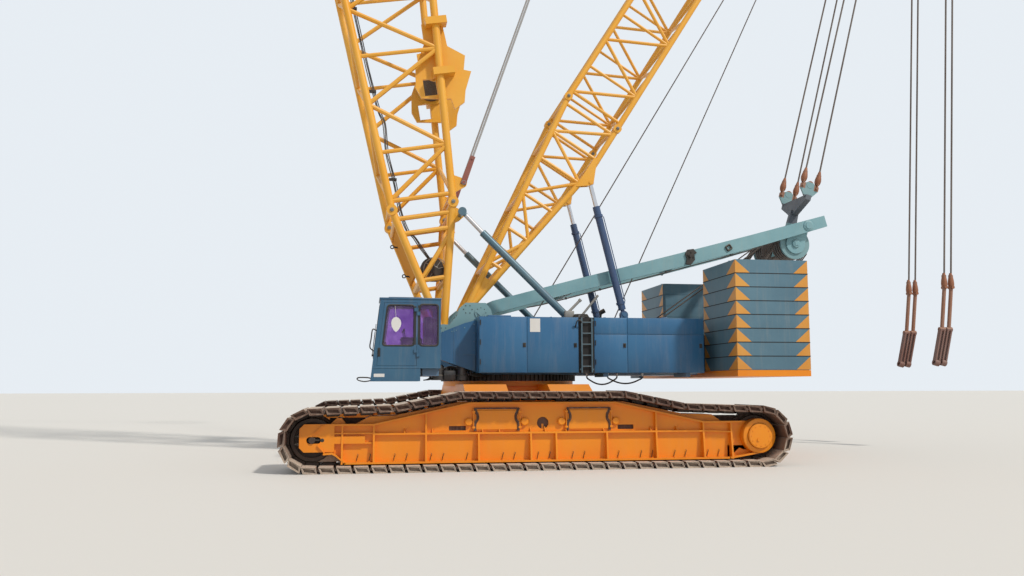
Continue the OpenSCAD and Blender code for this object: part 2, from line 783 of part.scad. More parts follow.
module cab_shell() {
    color("cadetblue") difference() {
        union() {
            plate(-cab_y, -cab_inner_y) {
                sloped(0, cab_rear, cab_floor, cab_top);
                sloped(0, -2400, cab_z0, cab_floor + 1);
            }
        }
        plate(-cab_y + wall_t, -cab_inner_y - wall_t)
            sloped(wall_t, cab_rear - wall_t, cab_floor + wall_t, cab_top - wall_t);
        plate(-cab_y - 1, -cab_y + wall_t + 1) {
            sloped(door_front, door_x1, door_z0, door_z1);
            translate([door_x1 + 60, pane_z0]) square([cab_rear - 60 - door_x1 - 60, pane_z1 - pane_z0]);
        }
        plate(-cab_inner_y - wall_t - 1, -cab_inner_y + 1) sloped(220, cab_rear - 90, pane_z0, pane_z1);
        block([cab_front - 10, -cab_y + 90, front_pane_z0],
            [front_x(pane_z1) + wall_t + 12, -cab_inner_y - 90, pane_z1]);
        block([cab_rear - wall_t - 1, -cab_y + 130, pane_z0], [cab_rear + 1, -cab_inner_y - 130, pane_z1]);
    }
    color("cadetblue") {
        for (z = [2300, 3200]) {
            block([hinge_at[0], hinge_at[1] - 10, z], [hinge_at[0] + 60, -cab_y + 1, z + 80]);
            translate([hinge_at[0], hinge_at[1], z]) cylinder(h = 80, r = 20, $fn = 32);
            translate([hinge_at[0], hinge_at[1], z + 79]) cylinder(h = 90, r = 9, $fn = 32);
        }
    }
}

module cab_glass() {
    color("indigo") {
        plate(-cab_y + glass_in, -cab_y + glass_in + glass_t)
            translate([door_x1 + 60, pane_z0]) square([cab_rear - 60 - door_x1 - 60, pane_z1 - pane_z0]);
        plate(-cab_inner_y - glass_in - glass_t, -cab_inner_y - glass_in)
            sloped(220, cab_rear - 90, pane_z0, pane_z1);
        plate(-cab_y + 90, -cab_inner_y - 90) difference() {
            sloped(glass_in, cab_rear, front_pane_z0, pane_z1);
            sloped(glass_in + glass_t, cab_rear + 1, front_pane_z0 - 1, pane_z1 + 1);
        }
        block([cab_rear - glass_in - glass_t, -cab_y + 130, pane_z0],
            [cab_rear - glass_in, -cab_inner_y - 130, pane_z1]);
    }
}

module cab_interior() {
    y = -(cab_y + cab_inner_y) / 2;
    floor_z = cab_floor + wall_t;
    color("dimgray") {
        block([-2700, y - 200, floor_z], [-2300, y + 200, floor_z + 330]);
        block([-2760, y - 240, floor_z + 320], [-2160, y + 240, floor_z + 440]);
        translate([-2260, y - 230, floor_z + 400]) rotate([0, 10, 0]) cube([110, 460, 680]);
        for (s = [-1, 1]) {
            block([-2800, y + s * 330 - 60, floor_z], [-2350, y + s * 330 + 60, floor_z + 600]);
        }
    }
}

module cab_door() {
    g = door_gap;
    color("cadetblue") {
        difference() {
            plate(-cab_y, -cab_y + wall_t) sloped(door_front + g, door_x1 - g, door_z0 + g, door_z1 - g);
            plate(-cab_y - 1, -cab_y + wall_t + 1)
                sloped(door_front + g + 70, door_x1 - g - 60, pane_z0, pane_z1 - 20);
        }
        for (z = [2300, 3200]) {
            difference() {
                union() {
                    block([hinge_at[0] - 70, hinge_at[1] - 10, z + 86], [hinge_at[0], -cab_y, z + 160]);
                    block([hinge_at[0] - 70, hinge_at[1] - 10, z + 86],
                        [door_x1 - g - 2, -cab_y + 1, z + 160]);
                    translate([hinge_at[0], hinge_at[1], z + 86]) cylinder(h = 74, r = 19, $fn = 32);
                }
                translate([hinge_at[0], hinge_at[1], z]) cylinder(h = 200, r = 9 + run_gap, $fn = 32);
            }
        }
    }
}

module cab_door_glass() {
    g = door_gap;
    color("indigo") plate(-cab_y + glass_in, -cab_y + glass_in + glass_t)
        sloped(door_front + g + 70, door_x1 - g - 60, pane_z0, pane_z1 - 20);
}

// Boom

boom_head_z = boom_len - boom_head_len;
boom_mid_z = (boom_taper_end + boom_head_z) / 2;
head_w = 1300;
head_d = 1000;
head_shaft = [-900, boom_len];
stay_shaft = [head_d / 2, boom_len - 320];
winch_z = 6700;

// One leg of the boom foot: its eye and the two chords that spread from it
module boom_leg() {
    d = boom_d0;
    difference() {
        union() {
            shaft([0, 0], boom_pin_r + 80, -girder_y - eye_w / 2, -girder_y + eye_w / 2, 48);
            for (sx = [-1, 1]) {
                bar([sx * 30, -girder_y, 60], [sx * d / 2, -boom_w / 2, boom_foot_len], boom_chord_r, 32);
            }
        }
        shaft([0, 0], boom_pin_r + run_gap, -girder_y - slot_w, -girder_y + slot_w, 48);
    }
}

// Where the foot section's lower cross frame sits, as a share of its length
foot_frame = 0.42;

// The lug on the boom's rear chord that the grey stays are pinned to, in the boom's frame
boom_lug = [boom_d0 / 2 + 330, boom_foot_len + 420];
boom_lug_t = 60;

// A place in the boom's frame, as seen in the crane's
function boom_at(p) = boom_pin + [cos(boom_lean) * p[0] - sin(boom_lean) * p[1],
    sin(boom_lean) * p[0] + cos(boom_lean) * p[1]];

module boom_foot() {
    d = boom_d0;
    l = boom_foot_len;
    function corner(sx, sy, t) = [sx * t * d / 2, sy * boom_w / 2, t * l];
    color("goldenrod") in_boom() {
        both_sides() boom_leg();
        for (sy = [-1, 1]) {
            bar(corner(-1, sy, foot_frame), corner(1, sy, foot_frame), boom_lace_r);
            bar(corner(-1, sy, foot_frame), corner(1, sy, 0.76), boom_lace_r);
            bar(corner(-1, sy, 0.80), corner(1, sy, 0.80), boom_lace_r);
            bar(corner(-1, sy, 0.92), corner(1, sy, 0.92), boom_lace_r);
        }
        for (sx = [-1, 1]) {
            for (t = [foot_frame, 0.92]) {
                bar(corner(sx, -1, t), corner(sx, 1, t), boom_lace_r * 1.4);
            }
            bar(corner(sx, -1, foot_frame), corner(sx, 1, 0.92), boom_lace_r);
        }
        joint_eyes(l - 20, d, boom_w, boom_chord_r, 130);
    }
    color("goldenrod") both_sides() difference() {
        plate(-boom_w / 2 - 35, -boom_w / 2 + 35) polygon([[-1700, 5500], [-1400, 5640], [-1250, 5780],
            [-1300, 5900], [-1560, 6000], [-1680, 5960]]);
        shaft(boom_stop_pin, 60 + run_gap, -boom_w / 2 - 50, -boom_w / 2 + 50, 32);
    }
}

boom_bays = 7;

module boom_taper() {
    color("goldenrod") in_boom() {
        difference() {
            lattice(boom_foot_len, boom_taper_end, boom_d0, boom_d1, boom_w, boom_w, boom_bays,
                boom_chord_r, boom_lace_r, [1, 2, 3]);
            joint_eyes(boom_foot_len - 20, boom_d0, boom_w, boom_chord_r * 1.2, 130 + run_gap);
        }
        both_sides() difference() {
            plate(-boom_w / 2 - boom_lug_t / 2, -boom_w / 2 + boom_lug_t / 2) polygon([
                [boom_d0 / 2 + 10, boom_lug[1] - 240], boom_lug + [50, -90], boom_lug + [90, 0],
                boom_lug + [40, 90], [boom_d0 / 2 + 40, boom_lug[1] + 260]]);
            shaft(boom_lug, 40 + run_gap, -boom_w / 2 - 60, -boom_w / 2 + 60, 32);
        }
        joint_eyes(boom_taper_end - 20, boom_d1, boom_w, boom_chord_r, 130);
    }
}

module boom_inserts() {
    color("goldenrod") in_boom() {
        difference() {
            lattice(boom_taper_end, boom_mid_z, boom_d1, boom_d1, boom_w, boom_w, 7, boom_chord_r, boom_lace_r);
            joint_eyes(boom_taper_end - 20, boom_d1, boom_w, boom_chord_r * 1.2, 130 + run_gap);
        }
        joint_eyes(boom_mid_z - 20, boom_d1, boom_w, boom_chord_r, 130);
        lattice(boom_mid_z, boom_head_z, boom_d1, boom_d1, boom_w, boom_w, 7, boom_chord_r, boom_lace_r);
        joint_eyes(boom_head_z - 20, boom_d1, boom_w, boom_chord_r, 130);
    }
}

module boom_head() {
    color("goldenrod") in_boom() {
        difference() {
            lattice(boom_head_z, boom_len - 500, boom_d1, head_d, boom_w, head_w, 5, boom_chord_r, boom_lace_r,
                chord_sides = 12);
            joint_eyes(boom_head_z - 20, boom_d1, boom_w, boom_chord_r * 1.2, 130 + run_gap);
        }
        both_sides() plate(-head_w / 2 - 40, -head_w / 2 + 40) polygon([
            [head_d / 2 + 80, boom_len - 900], [head_d / 2 + 200, boom_len - 300], [300, boom_len + 100],
            head_shaft + [0, 200], head_shaft - [200, 0], head_shaft - [0, 240],
            [-head_d / 2 - 80, boom_len - 900]]);
        shaft(head_shaft, 90, -head_w / 2, head_w / 2, 32);
        shaft(stay_shaft, 80, -boom_stay_y - 70, boom_stay_y + 70, 32);
        for (y = [-480, -330, -180, 110, 260, 410]) {
            shaft(head_shaft, sheave_r, y, y + 70, 48);
        }
    }
}

module boom_winch() {
    t = (winch_z - boom_foot_len) / (boom_taper_end - boom_foot_len);
    d = boom_d0 + (boom_d1 - boom_d0) * t;
    y = boom_w / 2 - 230;
    color("goldenrod") in_boom() both_sides() {
        difference() {
            plate(-y - 40, -y + 40) translate([d / 2, winch_z]) polygon([[-270, 970], [245, 970], [285, 350],
                [690, 60], [600, -300], [780, -360], [560, -830], [490, -1120], [220, -1270], [170, -1000],
                [-560, -900], [-660, -630], [-590, -140], [-280, 470]]);
            plate(-y - 50, -y + 50) translate([d / 2 - 460, winch_z - 860]) square([320, 420]);
        }
        difference() {
            for (z = [winch_z - 450, winch_z + 830]) {
                block([d / 2 - 200, -boom_w / 2 - 160, z], [d / 2 + 330, -y - 39, z + 180]);
            }
            bar([boom_d0 / 2, -boom_w / 2, boom_foot_len], [boom_d1 / 2, -boom_w / 2, boom_taper_end],
                boom_chord_r + run_gap, 32);
        }
    }
    color("dimgray") in_boom() {
        shaft([d / 2 - 60, winch_z - 60], 330, -y + 39, y - 39, 48);
        for (sy = [-1, 1]) {
            shaft([d / 2 - 60, winch_z - 60], 430, sy * (y - 80) - 15, sy * (y - 80) + 15, 48);
        }
    }
}

module hose_reel() {
    tube = [boom_d0 / 2 * foot_frame, foot_frame * boom_foot_len];
    hub = [40, tube[1] + 300];
    color("silver") in_boom() {
        for (y = [-700, -480]) {
            shaft(hub, 290, y, y + 20, 40);
        }
        shaft(hub, 150, -681, -479, 32);
        shaft(hub, 40, -760, -400, 24);
        for (y = [-745, -435]) {
            difference() {
                plate(y, y + 20) polygon([hub + [-60, 60], hub + [-60, -60], tube + [-60, -40],
                    tube + [110, -40], tube + [110, 110], hub + [60, 60]]);
                shaft(tube, boom_lace_r * 1.4 + run_gap, y - 1, y + 21, lace_sides);
            }
        }
    }
}

module boom_backstops() {
    function at(p) = [p[0], -stop_y, p[1]];
    color("lightsteelblue") both_sides() {
        bar(at(boom_stop_low), at(boom_stop_rod), barrel_r, 32);
        bar(at(boom_stop_rod), at(boom_stop_pin), rod_r, 32);
        shaft(boom_stop_pin, 100, -stop_y - 60, -stop_y + 60, 32);
        shaft(boom_stop_pin, 60, -stop_y, -boom_w / 2 + 60, 32);
    }
}

// The spreader between the boom's stays and the mast head's rope work
spreader = [6560, 29300];

module boom_stays() {
    head = boom_at(stay_shaft);
    lug = boom_at(boom_lug);
    up = (spreader - lug) / norm(spreader - lug);
    across = [up[1], -up[0]];
    link_end = lug + 700 * up;
    gap = boom_lug_t / 2 + 6;
    color("dimgray") {
        both_sides() {
            difference() {
                union() {
                    bar([head[0], -boom_stay_y, head[1]], [spreader[0], -boom_stay_y, spreader[1]],
                        stay_r * 1.4);
                    shaft(head, 130, -boom_stay_y - 35, -boom_stay_y + 35, 32);
                }
                shaft(head, 80 + run_gap, -boom_stay_y - 60, -boom_stay_y + 60, 32);
            }
            for (y = [-boom_w / 2 - gap - 25, -boom_w / 2 + gap]) {
                plate(y, y + 25) polygon([lug - 70 * across - 50 * up, lug + 70 * across - 50 * up,
                    link_end + 60 * across, link_end - 60 * across]);
            }
            shaft(lug, 40, -boom_w / 2 - gap - 45, -boom_w / 2 + gap + 45, 32);
            shaft(link_end - 60 * up, 32, -boom_w / 2 - gap - 45, -boom_w / 2 + gap + 45, 32);
            bar([link_end[0] - 60 * up[0], -boom_w / 2, link_end[1] - 60 * up[1]],
                [spreader[0], -boom_stay_y, spreader[1]], stay_r);
        }
        shaft(spreader, 110, -boom_stay_y - 80, boom_stay_y + 80, 32);
        for (y = [-420, -280, -140, 70, 210, 350]) {
            shaft(spreader, 340, y, y + 60, 40);
        }
    }
}

head_pin = boom_at(head_shaft);
fall_r = 14;
fall_x = head_pin[0] - sheave_r - fall_r - run_gap;
block_z = head_pin[1] - fall_len;

module hook_block() {
    color("dimgray") {
        for (y = [-445, -295, -145, 145, 295, 445]) {
            bar([fall_x, y, block_z], [fall_x, y, head_pin[1]], fall_r);
            shaft([fall_x + 300, block_z], 290, y - 30, y + 30, 40);
        }
        shaft([fall_x + 300, block_z], 70, -560, 560, 32);
    }
    color("goldenrod") {
        for (y = [-560, -30, 500]) {
            plate(y, y + 60) translate([fall_x + 300, block_z]) polygon([[-360, 200], [-360, -250],
                [-150, -520], [150, -520], [360, -250], [360, 200], [150, 380], [-150, 380]]);
        }
        block([fall_x + 130, -560, block_z - 620], [fall_x + 470, 560, block_z - 500]);
    }
}

module hook() {
    x = fall_x + 300;
    z = block_z - 640;
    color("dimgray") {
        translate([x, 0, z - 200]) cylinder(h = 220 - run_gap, r = 70, $fn = 32);
        translate([x, 0, z - 420]) rotate([90, 0, 0]) difference() {
            cylinder(h = 130, r = 250, center = true, $fn = 48);
            cylinder(h = 140, r = 130, center = true, $fn = 48);
            translate([20, 30, -80]) cube([300, 230, 160]);
        }
    }
}

// Derrick mast

mast_w = 2 * girder_y;
mast_head_z = mast_len - mast_head_len;
mast_mid_z = (mast_foot_len + mast_head_z) / 2;
mast_kink = 4670;
mast_head_w = 1960;
mast_shaft_r = 90;
// Outer radius of an eye on the mast's head shaft
head_eye_r = 150;

module mast_leg() {
    difference() {
        union() {
            shaft([0, 0], mast_pin_r + 70, -girder_y - eye_w / 2, -girder_y + eye_w / 2, 48);
            bar([-20, -girder_y, 50], [-mast_d / 2, -girder_y, mast_foot_len], mast_chord_r, 32);
            bar([20, -girder_y, 50], [mast_d / 2, -girder_y, mast_kink], mast_chord_r, 32);
            bar([mast_d / 2, -girder_y, mast_kink - 40], [mast_d / 2, -girder_y, mast_foot_len],
                mast_chord_r, 32);
            plate(-girder_y - 45, -girder_y + 45) polygon([[-90, 0], [90, 0], [200, 900], [-170, 900]]);
        }
        shaft([0, 0], mast_pin_r + run_gap, -girder_y - slot_w, -girder_y + slot_w, 48);
    }
}

// Where the mast's backstops are pinned, in the mast's own frame, and the plates that hold the pin
mast_stop_at = [mast_d / 2 + 142, 4361];
mast_ear_gap = 64;

module mast_foot() {
    l = mast_foot_len;
    function front(sy, z) = [-mast_d / 2 * z / l, sy * girder_y, z];
    function rear(sy, z) = [mast_d / 2 * min(1, z / mast_kink), sy * girder_y, z];
    levels = [1300, 2250, 3200, 4200, 4950, 5750];
    color("goldenrod") in_mast() {
        both_sides() mast_leg();
        for (sy = [-1, 1]) {
            for (i = [0 : len(levels) - 1]) {
                bar(front(sy, levels[i]), rear(sy, levels[i]), mast_lace_r);
            }
            for (i = [0 : len(levels) - 2]) {
                bar(i % 2 == 0 ? front(sy, levels[i]) : rear(sy, levels[i]),
                    i % 2 == 0 ? rear(sy, levels[i + 1]) : front(sy, levels[i + 1]), mast_lace_r);
            }
        }
        for (i = [0 : 2 : len(levels) - 1]) {
            bar(front(-1, levels[i]), front(1, levels[i]), mast_lace_r * 1.3);
            bar(rear(-1, levels[i]), rear(1, levels[i]), mast_lace_r * 1.3);
        }
        both_sides() {
            for (y = [-girder_y - mast_ear_gap - ear_t, -girder_y + mast_ear_gap]) {
                plate(y, y + ear_t) polygon([[mast_d / 2 - 110, mast_stop_at[1] - 300],
                    mast_stop_at + [30, -80], mast_stop_at + [80, 0], mast_stop_at + [50, 80],
                    [mast_d / 2 - 30, mast_stop_at[1] + 600], [mast_d / 2 - 110, mast_stop_at[1] + 600]]);
            }
            shaft(mast_stop_at, 45, -girder_y - mast_ear_gap - ear_t - 20,
                -girder_y + mast_ear_gap + ear_t + 20, 32);
        }
        joint_eyes(mast_foot_len - 15, mast_d, mast_w, mast_chord_r, 105);
    }
}

module mast_insert() {
    color("goldenrod") in_mast() {
        difference() {
            lattice(mast_foot_len, mast_mid_z, mast_d, mast_d, mast_w, mast_w, 9, mast_chord_r, mast_lace_r);
            joint_eyes(mast_foot_len - 15, mast_d, mast_w, mast_chord_r * 1.2, 105 + run_gap);
        }
        joint_eyes(mast_mid_z - 20, mast_d, mast_w, mast_chord_r, 110);
        lattice(mast_mid_z, mast_head_z, mast_d, mast_d, mast_w, mast_w, 9, mast_chord_r, mast_lace_r);
        joint_eyes(mast_head_z - 15, mast_d, mast_w, mast_chord_r, 105);
    }
}

module mast_head() {
    color("goldenrod") in_mast() {
        difference() {
            lattice(mast_head_z, mast_len - 400, mast_d, 700, mast_w, mast_head_w, 6,
                mast_chord_r, mast_lace_r, [3, 4, 5, 6], chord_sides = 12);
            joint_eyes(mast_head_z - 15, mast_d, mast_w, mast_chord_r * 1.2, 105 + run_gap);
        }
        both_sides() plate(-mast_head_w / 2 - 25, -mast_head_w / 2 + 25) translate([0, mast_len])
            polygon([[-440, -700], [440, -700], [260, 160], [-260, 160]]);
        shaft([0, mast_len], mast_shaft_r, -mast_head_w / 2 - 60, mast_head_w / 2 + 60, 32);
    }
    color("dimgray") in_mast() {
        for (y = [-560, -420, -280, 210, 350, 490]) {
            shaft([0, mast_len], 380, y, y + 70, 48);
        }
    }
}

// The A-frame's head shaft, which the mast's stays pull on
a_head = [8990, 55];
a_shaft_r = 90;
a_head_at = [a_pin[0] + cos(a_angle) * a_head[0] - sin(a_angle) * a_head[1],
    a_pin[1] + sin(a_angle) * a_head[0] + cos(a_angle) * a_head[1]];
stay_dir = (mast_tip - a_head_at) / norm(mast_tip - a_head_at);
stay_tilt = 90 - atan2(stay_dir[1], stay_dir[0]);
stay_len = norm(mast_tip - a_head_at);

module in_stay() {
    translate([a_head_at[0], 0, a_head_at[1]]) rotate([0, stay_tilt, 0]) children();
}

// The mast's stays: a link on the A-frame's shaft, an equalizer beam, and at each end a yoke with two ropes
module mast_stays() {
    beam_low = 490;
    beam_top = 930;
    socket_z = 1175;
    reach = stay_pair / 2;
    color("midnightblue") in_stay() {
        difference() {
            union() {
                plate(-60, 60) polygon([[-150, -170], [150, -170],
                    [110, beam_low + 120], [-110, beam_low + 120]]);
                translate([-75, 0, 0]) rotate([90, 0, 90]) linear_extrude(150) polygon([
                    [-stay_y - 90, beam_top - 130], [-120, beam_low], [120, beam_low],
                    [stay_y + 90, beam_top - 130],
                    [stay_y + 90, beam_top], [-stay_y - 90, beam_top]]);
            }
            shaft([0, 0], a_shaft_r + 30, -100, 100, 48);
        }
        both_sides() {
            plate(-stay_y - 28, -stay_y + 28) polygon([[-80, beam_top - 60], [80, beam_top - 60],
                [reach + 55, socket_z - 70], [reach + 55, socket_z + 50], [85, socket_z + 110],
                [-85, socket_z + 110], [-reach - 55, socket_z + 50], [-reach - 55, socket_z - 70]]);
            shaft([0, socket_z + 60], 100, -stay_y - 34, -stay_y + 34, 40);
        }
    }
    color("sienna") in_stay() both_sides() {
        for (sx = [-1, 1]) {
            shaft([sx * reach, socket_z], 36, -stay_y - 75, -stay_y + 75, 32);
            for (sy = [-1, 1]) {
                bar([sx * reach, -stay_y + sy * 50, socket_z - 40],
                    [sx * reach, -stay_y + sy * 50, socket_z + 170], 20, 32);
            }
            bar([sx * reach, -stay_y, socket_z + 160], [sx * reach, -stay_y, socket_z + 390], 62, 32);
            bar([sx * reach, -stay_y, socket_z + 380], [sx * 90, -stay_y, stay_len - 110], stay_r);
        }
        difference() {
            shaft([0, stay_len], head_eye_r, -stay_y - 30, -stay_y + 30, 32);
            shaft([0, stay_len], mast_shaft_r + run_gap, -stay_y - 60, -stay_y + 60, 32);
        }
    }
}

// Upper, middle and lower joints of the hanging links, as [X, Z]
hang_top = [11880, 4310];
hang_mid = [11740, 3144];
hang_low = [11520, 2258];

// Bores at the lower ends of the hanging links, where a ballast tray is pinned
hang_eye_r = 85;
hang_bore_r = 45;
hang_eye_w = 140;

// One hanging line: rope, round link, and a double link with its eye
module hang_line(dx) {
    low_v = hang_mid - hang_low;
    low_tilt = 90 - atan2(low_v[1], low_v[0]);
    bar([mast_tip[0] + dx, -hang_y, mast_tip[1] - 420], [hang_top[0] + dx, -hang_y, hang_top[1] + 120], stay_r);
    bar([hang_top[0] + dx, -hang_y, hang_top[1] + 300], [hang_top[0] + dx, -hang_y, hang_top[1] - 60], 60, 32);
    bar([hang_top[0] + dx, -hang_y, hang_top[1]], [hang_mid[0] + dx, -hang_y, hang_mid[1]], 50, 32);
    translate([hang_mid[0] + dx - 82, -hang_y, hang_mid[1]]) rotate([0, 90, 0])
        cylinder(h = 164, r = 65, $fn = 32);
    translate([hang_low[0] + dx, -hang_y, hang_low[1]]) rotate([0, low_tilt, 0]) {
        for (sx = [-1, 1]) {
            difference() {
                translate([sx * 50 - 20, -65, 60]) cube([40, 130, norm(low_v) - 60]);
                translate([-90, 0, 0]) rotate([0, 90, 0]) cylinder(h = 180, r = hang_eye_r, $fn = 32);
            }
        }
        difference() {
            translate([-hang_eye_w / 2, 0, 0]) rotate([0, 90, 0])
                cylinder(h = hang_eye_w, r = hang_eye_r + 1, $fn = 32);
            translate([-hang_eye_w, 0, 0]) rotate([0, 90, 0])
                cylinder(h = 2 * hang_eye_w, r = hang_bore_r, $fn = 32);
        }
    }
}

module hanging_pendants() {
    color("sienna") both_sides() {
        hang_line(-hang_pair / 2);
        hang_line(hang_pair / 2);
        difference() {
            union() {
                shaft(mast_tip, head_eye_r, -hang_y - 30, -hang_y + 30, 32);
                plate(-hang_y - 30, -hang_y + 30) translate(mast_tip)
                    polygon([[-90, 0], [90, 0], [hang_pair / 2 + 60, -460], [-hang_pair / 2 - 60, -460]]);
            }
            shaft(mast_tip, mast_shaft_r + run_gap, -hang_y - 60, -hang_y + 60, 32);
        }
    }
}

// A-frame

module a_frame() {
    foot_c = 75;
    mid_c = 35;
    end_c = 60;
    foot_half = 0.45 * a_depth;
    end_half = 0.43 * a_depth;
    side = [[60, -140], [400, foot_c - foot_half], [2750, foot_c - foot_half], [5200, mid_c - a_depth / 2],
        [7300, mid_c - a_depth / 2 - 8], [a_len, end_c - end_half], [a_len, end_c + end_half],
        [7300, mid_c + a_depth / 2 - 8], [5200, mid_c + a_depth / 2], [2750, foot_c + foot_half],
        [400, foot_c + foot_half], [60, 170]];
    color("cadetblue") in_a_frame() {
        both_sides() difference() {
            plate(-a_y - a_beam_w / 2, -a_y + a_beam_w / 2) {
                polygon(side);
                circle(r = a_pin_r + 80, $fn = 48);
            }
            shaft([0, 0], a_pin_r + run_gap, -a_y - a_beam_w, -a_y + a_beam_w, 48);
        }
        shaft(a_head, a_shaft_r, -a_y, a_y, 48);
        for (x = [2400, 5600, 7500]) {
            block([x, -a_y, -60], [x + 200, a_y, 100]);
        }
        for (y = hanger_y) {
            plate(y, y + hanger_t) polygon([[a_head[0] - 160, 120], [a_head[0] + 160, 120],
                a_sheave + [190, -150], a_sheave + [-190, -150]]);
        }
        for (y = [hanger_y[0], hanger_y[3]]) {
            shaft(a_sheave, 260, y, y + hanger_t, 48);
        }
    }
}

a_sheave = [8600, -310];
// Hanger plates of the A-frame's sheaves: thickness, and the left side of each
hanger_t = 30;
hanger_y = [-895, -300, 270, 865];

module a_frame_sheaves() {
    color("slategray") in_a_frame() both_sides() {
        for (y = [-850, -730, -610, -490, -370]) {
            shaft(a_sheave, 400, y, y + 70, 48);
        }
        shaft(a_sheave, 80, -hanger_y[3], hanger_y[1], 32);
    }
}

// Backstops of the mast: barrel on the girder's seat, rod in the barrel, eye on the mast's pin

mast_stop_top = [mast_pin[0] + mast_axis[0] * mast_stop_at[1] + mast_axis[1] * mast_stop_at[0],
    mast_pin[1] + mast_axis[1] * mast_stop_at[1] - mast_axis[0] * mast_stop_at[0]];
stop_vec = mast_stop_top - mast_stop_low;
stop_len = norm(stop_vec);
stop_tilt = 90 - atan2(stop_vec[1], stop_vec[0]);
barrel_len = stop_len - 620;

module in_mast_stop() {
    translate([mast_stop_low[0], 0, mast_stop_low[1]]) rotate([0, stop_tilt, 0]) children();
}

module mast_stop_barrels() {
    color("midnightblue") in_mast_stop() both_sides() difference() {
        union() {
            bar([0, -girder_y, 130], [0, -girder_y, barrel_len], barrel_r, 40);
            bar([0, -girder_y, 60], [0, -girder_y, 140], ear_gap - 9, 40);
            shaft([0, 0], 100, -girder_y - 55, -girder_y + 55, 32);
        }
        shaft([0, 0], 50 + run_gap, -girder_y - 80, -girder_y + 80, 32);
        bar([0, -girder_y, 500], [0, -girder_y, barrel_len + 10], rod_r + run_gap, 40);
    }
}

module mast_stop_rods() {
    color("silver") in_mast_stop() both_sides() difference() {
        union() {
            bar([0, -girder_y, barrel_len - 900], [0, -girder_y, stop_len - 75], rod_r, 40);
            shaft([0, stop_len], 95, -girder_y - 52, -girder_y + 52, 32);
        }
        shaft([0, stop_len], 60, -girder_y - 80, -girder_y + 80, 32);
    }
}

carbody();
slew_ring();
track_frame_left();
track_frame_right();
track_left();
track_right();
idlers();
sprockets();
rollers();
upper_frame();
front_covers();
house_left();
house_right();
engine_block();
winch_drums();
ladder();
deck_sheaves();
counterweight_base();
counterweight_left();
counterweight_right();
cab_shell();
cab_glass();
cab_interior();
cab_door();
cab_door_glass();
boom_foot();
boom_taper();
boom_inserts();
boom_head();
boom_winch();
hose_reel();
boom_backstops();
boom_stays();
hook_block();
hook();
mast_foot();
mast_insert();
mast_head();
mast_stays();
hanging_pendants();
a_frame();
a_frame_sheaves();
mast_stop_barrels();
mast_stop_rods();
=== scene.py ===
# %% [markdown]
# # A crawler crane, dressed for the camera
# The steelwork comes from the CAD model: tracks, upper works, boom, mast, A-frame and counterweight all
# stand where they stand on the real machine. This lesson adds what paint, wear and small parts give to
# it: cast track shoes, bolts, door panels, ropes, hoses and handles. Everything is in metres. The
# front of the crane is -X, the cab is on the -Y side, and the ground is Z = 0.

# %% Load the frame
import math

import bmesh
import bpy
from mathutils import Matrix, Vector


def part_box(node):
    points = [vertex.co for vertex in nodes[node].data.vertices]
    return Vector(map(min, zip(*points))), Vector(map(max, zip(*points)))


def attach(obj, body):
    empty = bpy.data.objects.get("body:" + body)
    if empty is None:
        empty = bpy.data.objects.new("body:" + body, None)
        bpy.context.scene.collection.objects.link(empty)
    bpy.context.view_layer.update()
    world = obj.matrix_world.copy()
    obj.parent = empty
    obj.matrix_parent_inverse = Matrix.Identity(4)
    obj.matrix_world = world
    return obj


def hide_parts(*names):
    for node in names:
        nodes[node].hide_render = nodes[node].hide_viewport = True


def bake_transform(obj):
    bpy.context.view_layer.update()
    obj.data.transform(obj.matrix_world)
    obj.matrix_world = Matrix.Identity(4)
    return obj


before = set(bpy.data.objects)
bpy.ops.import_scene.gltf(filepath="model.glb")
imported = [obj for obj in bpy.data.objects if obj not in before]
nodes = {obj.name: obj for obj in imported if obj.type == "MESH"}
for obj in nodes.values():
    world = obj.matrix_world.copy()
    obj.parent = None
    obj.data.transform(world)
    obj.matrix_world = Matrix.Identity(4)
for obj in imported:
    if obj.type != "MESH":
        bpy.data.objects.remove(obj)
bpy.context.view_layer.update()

# %% [markdown]
# ## The camera
# The photograph was taken from eye height, about twenty metres from the near track, with a short lens.
# The numbers below put the near track's outline, the cab and the A-frame where the photograph has them.

# %% Camera
EYE = Vector((-3.551, -22.563, 1.677))
LOOK_UP = 6.215
LOOK_RIGHT = 9.2
ROLL = 0.095
LENS_MM = 31.42

camera_data = bpy.data.cameras.new("camera")
camera_data.lens = LENS_MM
camera_data.sensor_width = 36.0
camera_data.clip_end = 500.0
camera = bpy.data.objects.new("camera", camera_data)
camera.location = EYE
camera.rotation_euler = (math.radians(90.0 + LOOK_UP), math.radians(ROLL), math.radians(-LOOK_RIGHT))
bpy.context.scene.collection.objects.link(camera)
bpy.context.scene.camera = camera

# %% [markdown]
# ## Floor, sky and light
# A pale floor catches the shadow and a pale sky closes the picture. The sky shows its own colour only to
# the camera, to gloss and through glass; as a light it is dimmer, so that the paint keeps its colour.
# One soft sun from the right, behind the camera, gives the ribs of the track frames their shadows.

# %% Floor and sky
FLOOR_SIZE = 400.0
SKY_SEEN = (0.80, 0.85, 0.90)
SKY_LIGHT = 0.62

floor_mesh = bmesh.new()
bmesh.ops.create_grid(floor_mesh, x_segments=1, y_segments=1, size=FLOOR_SIZE / 2)
floor_data = bpy.data.meshes.new("floor")
floor_mesh.to_mesh(floor_data)
floor_mesh.free()
floor = bpy.data.objects.new("floor", floor_data)
bpy.context.scene.collection.objects.link(floor)

floor_material = bpy.data.materials.new("pale_floor")
floor_material.use_nodes = True
floor_shader = floor_material.node_tree.nodes["Principled BSDF"]
floor_shader.inputs["Base Color"].default_value = (0.72, 0.69, 0.64, 1.0)
floor_shader.inputs["Roughness"].default_value = 0.9
floor_data.materials.append(floor_material)

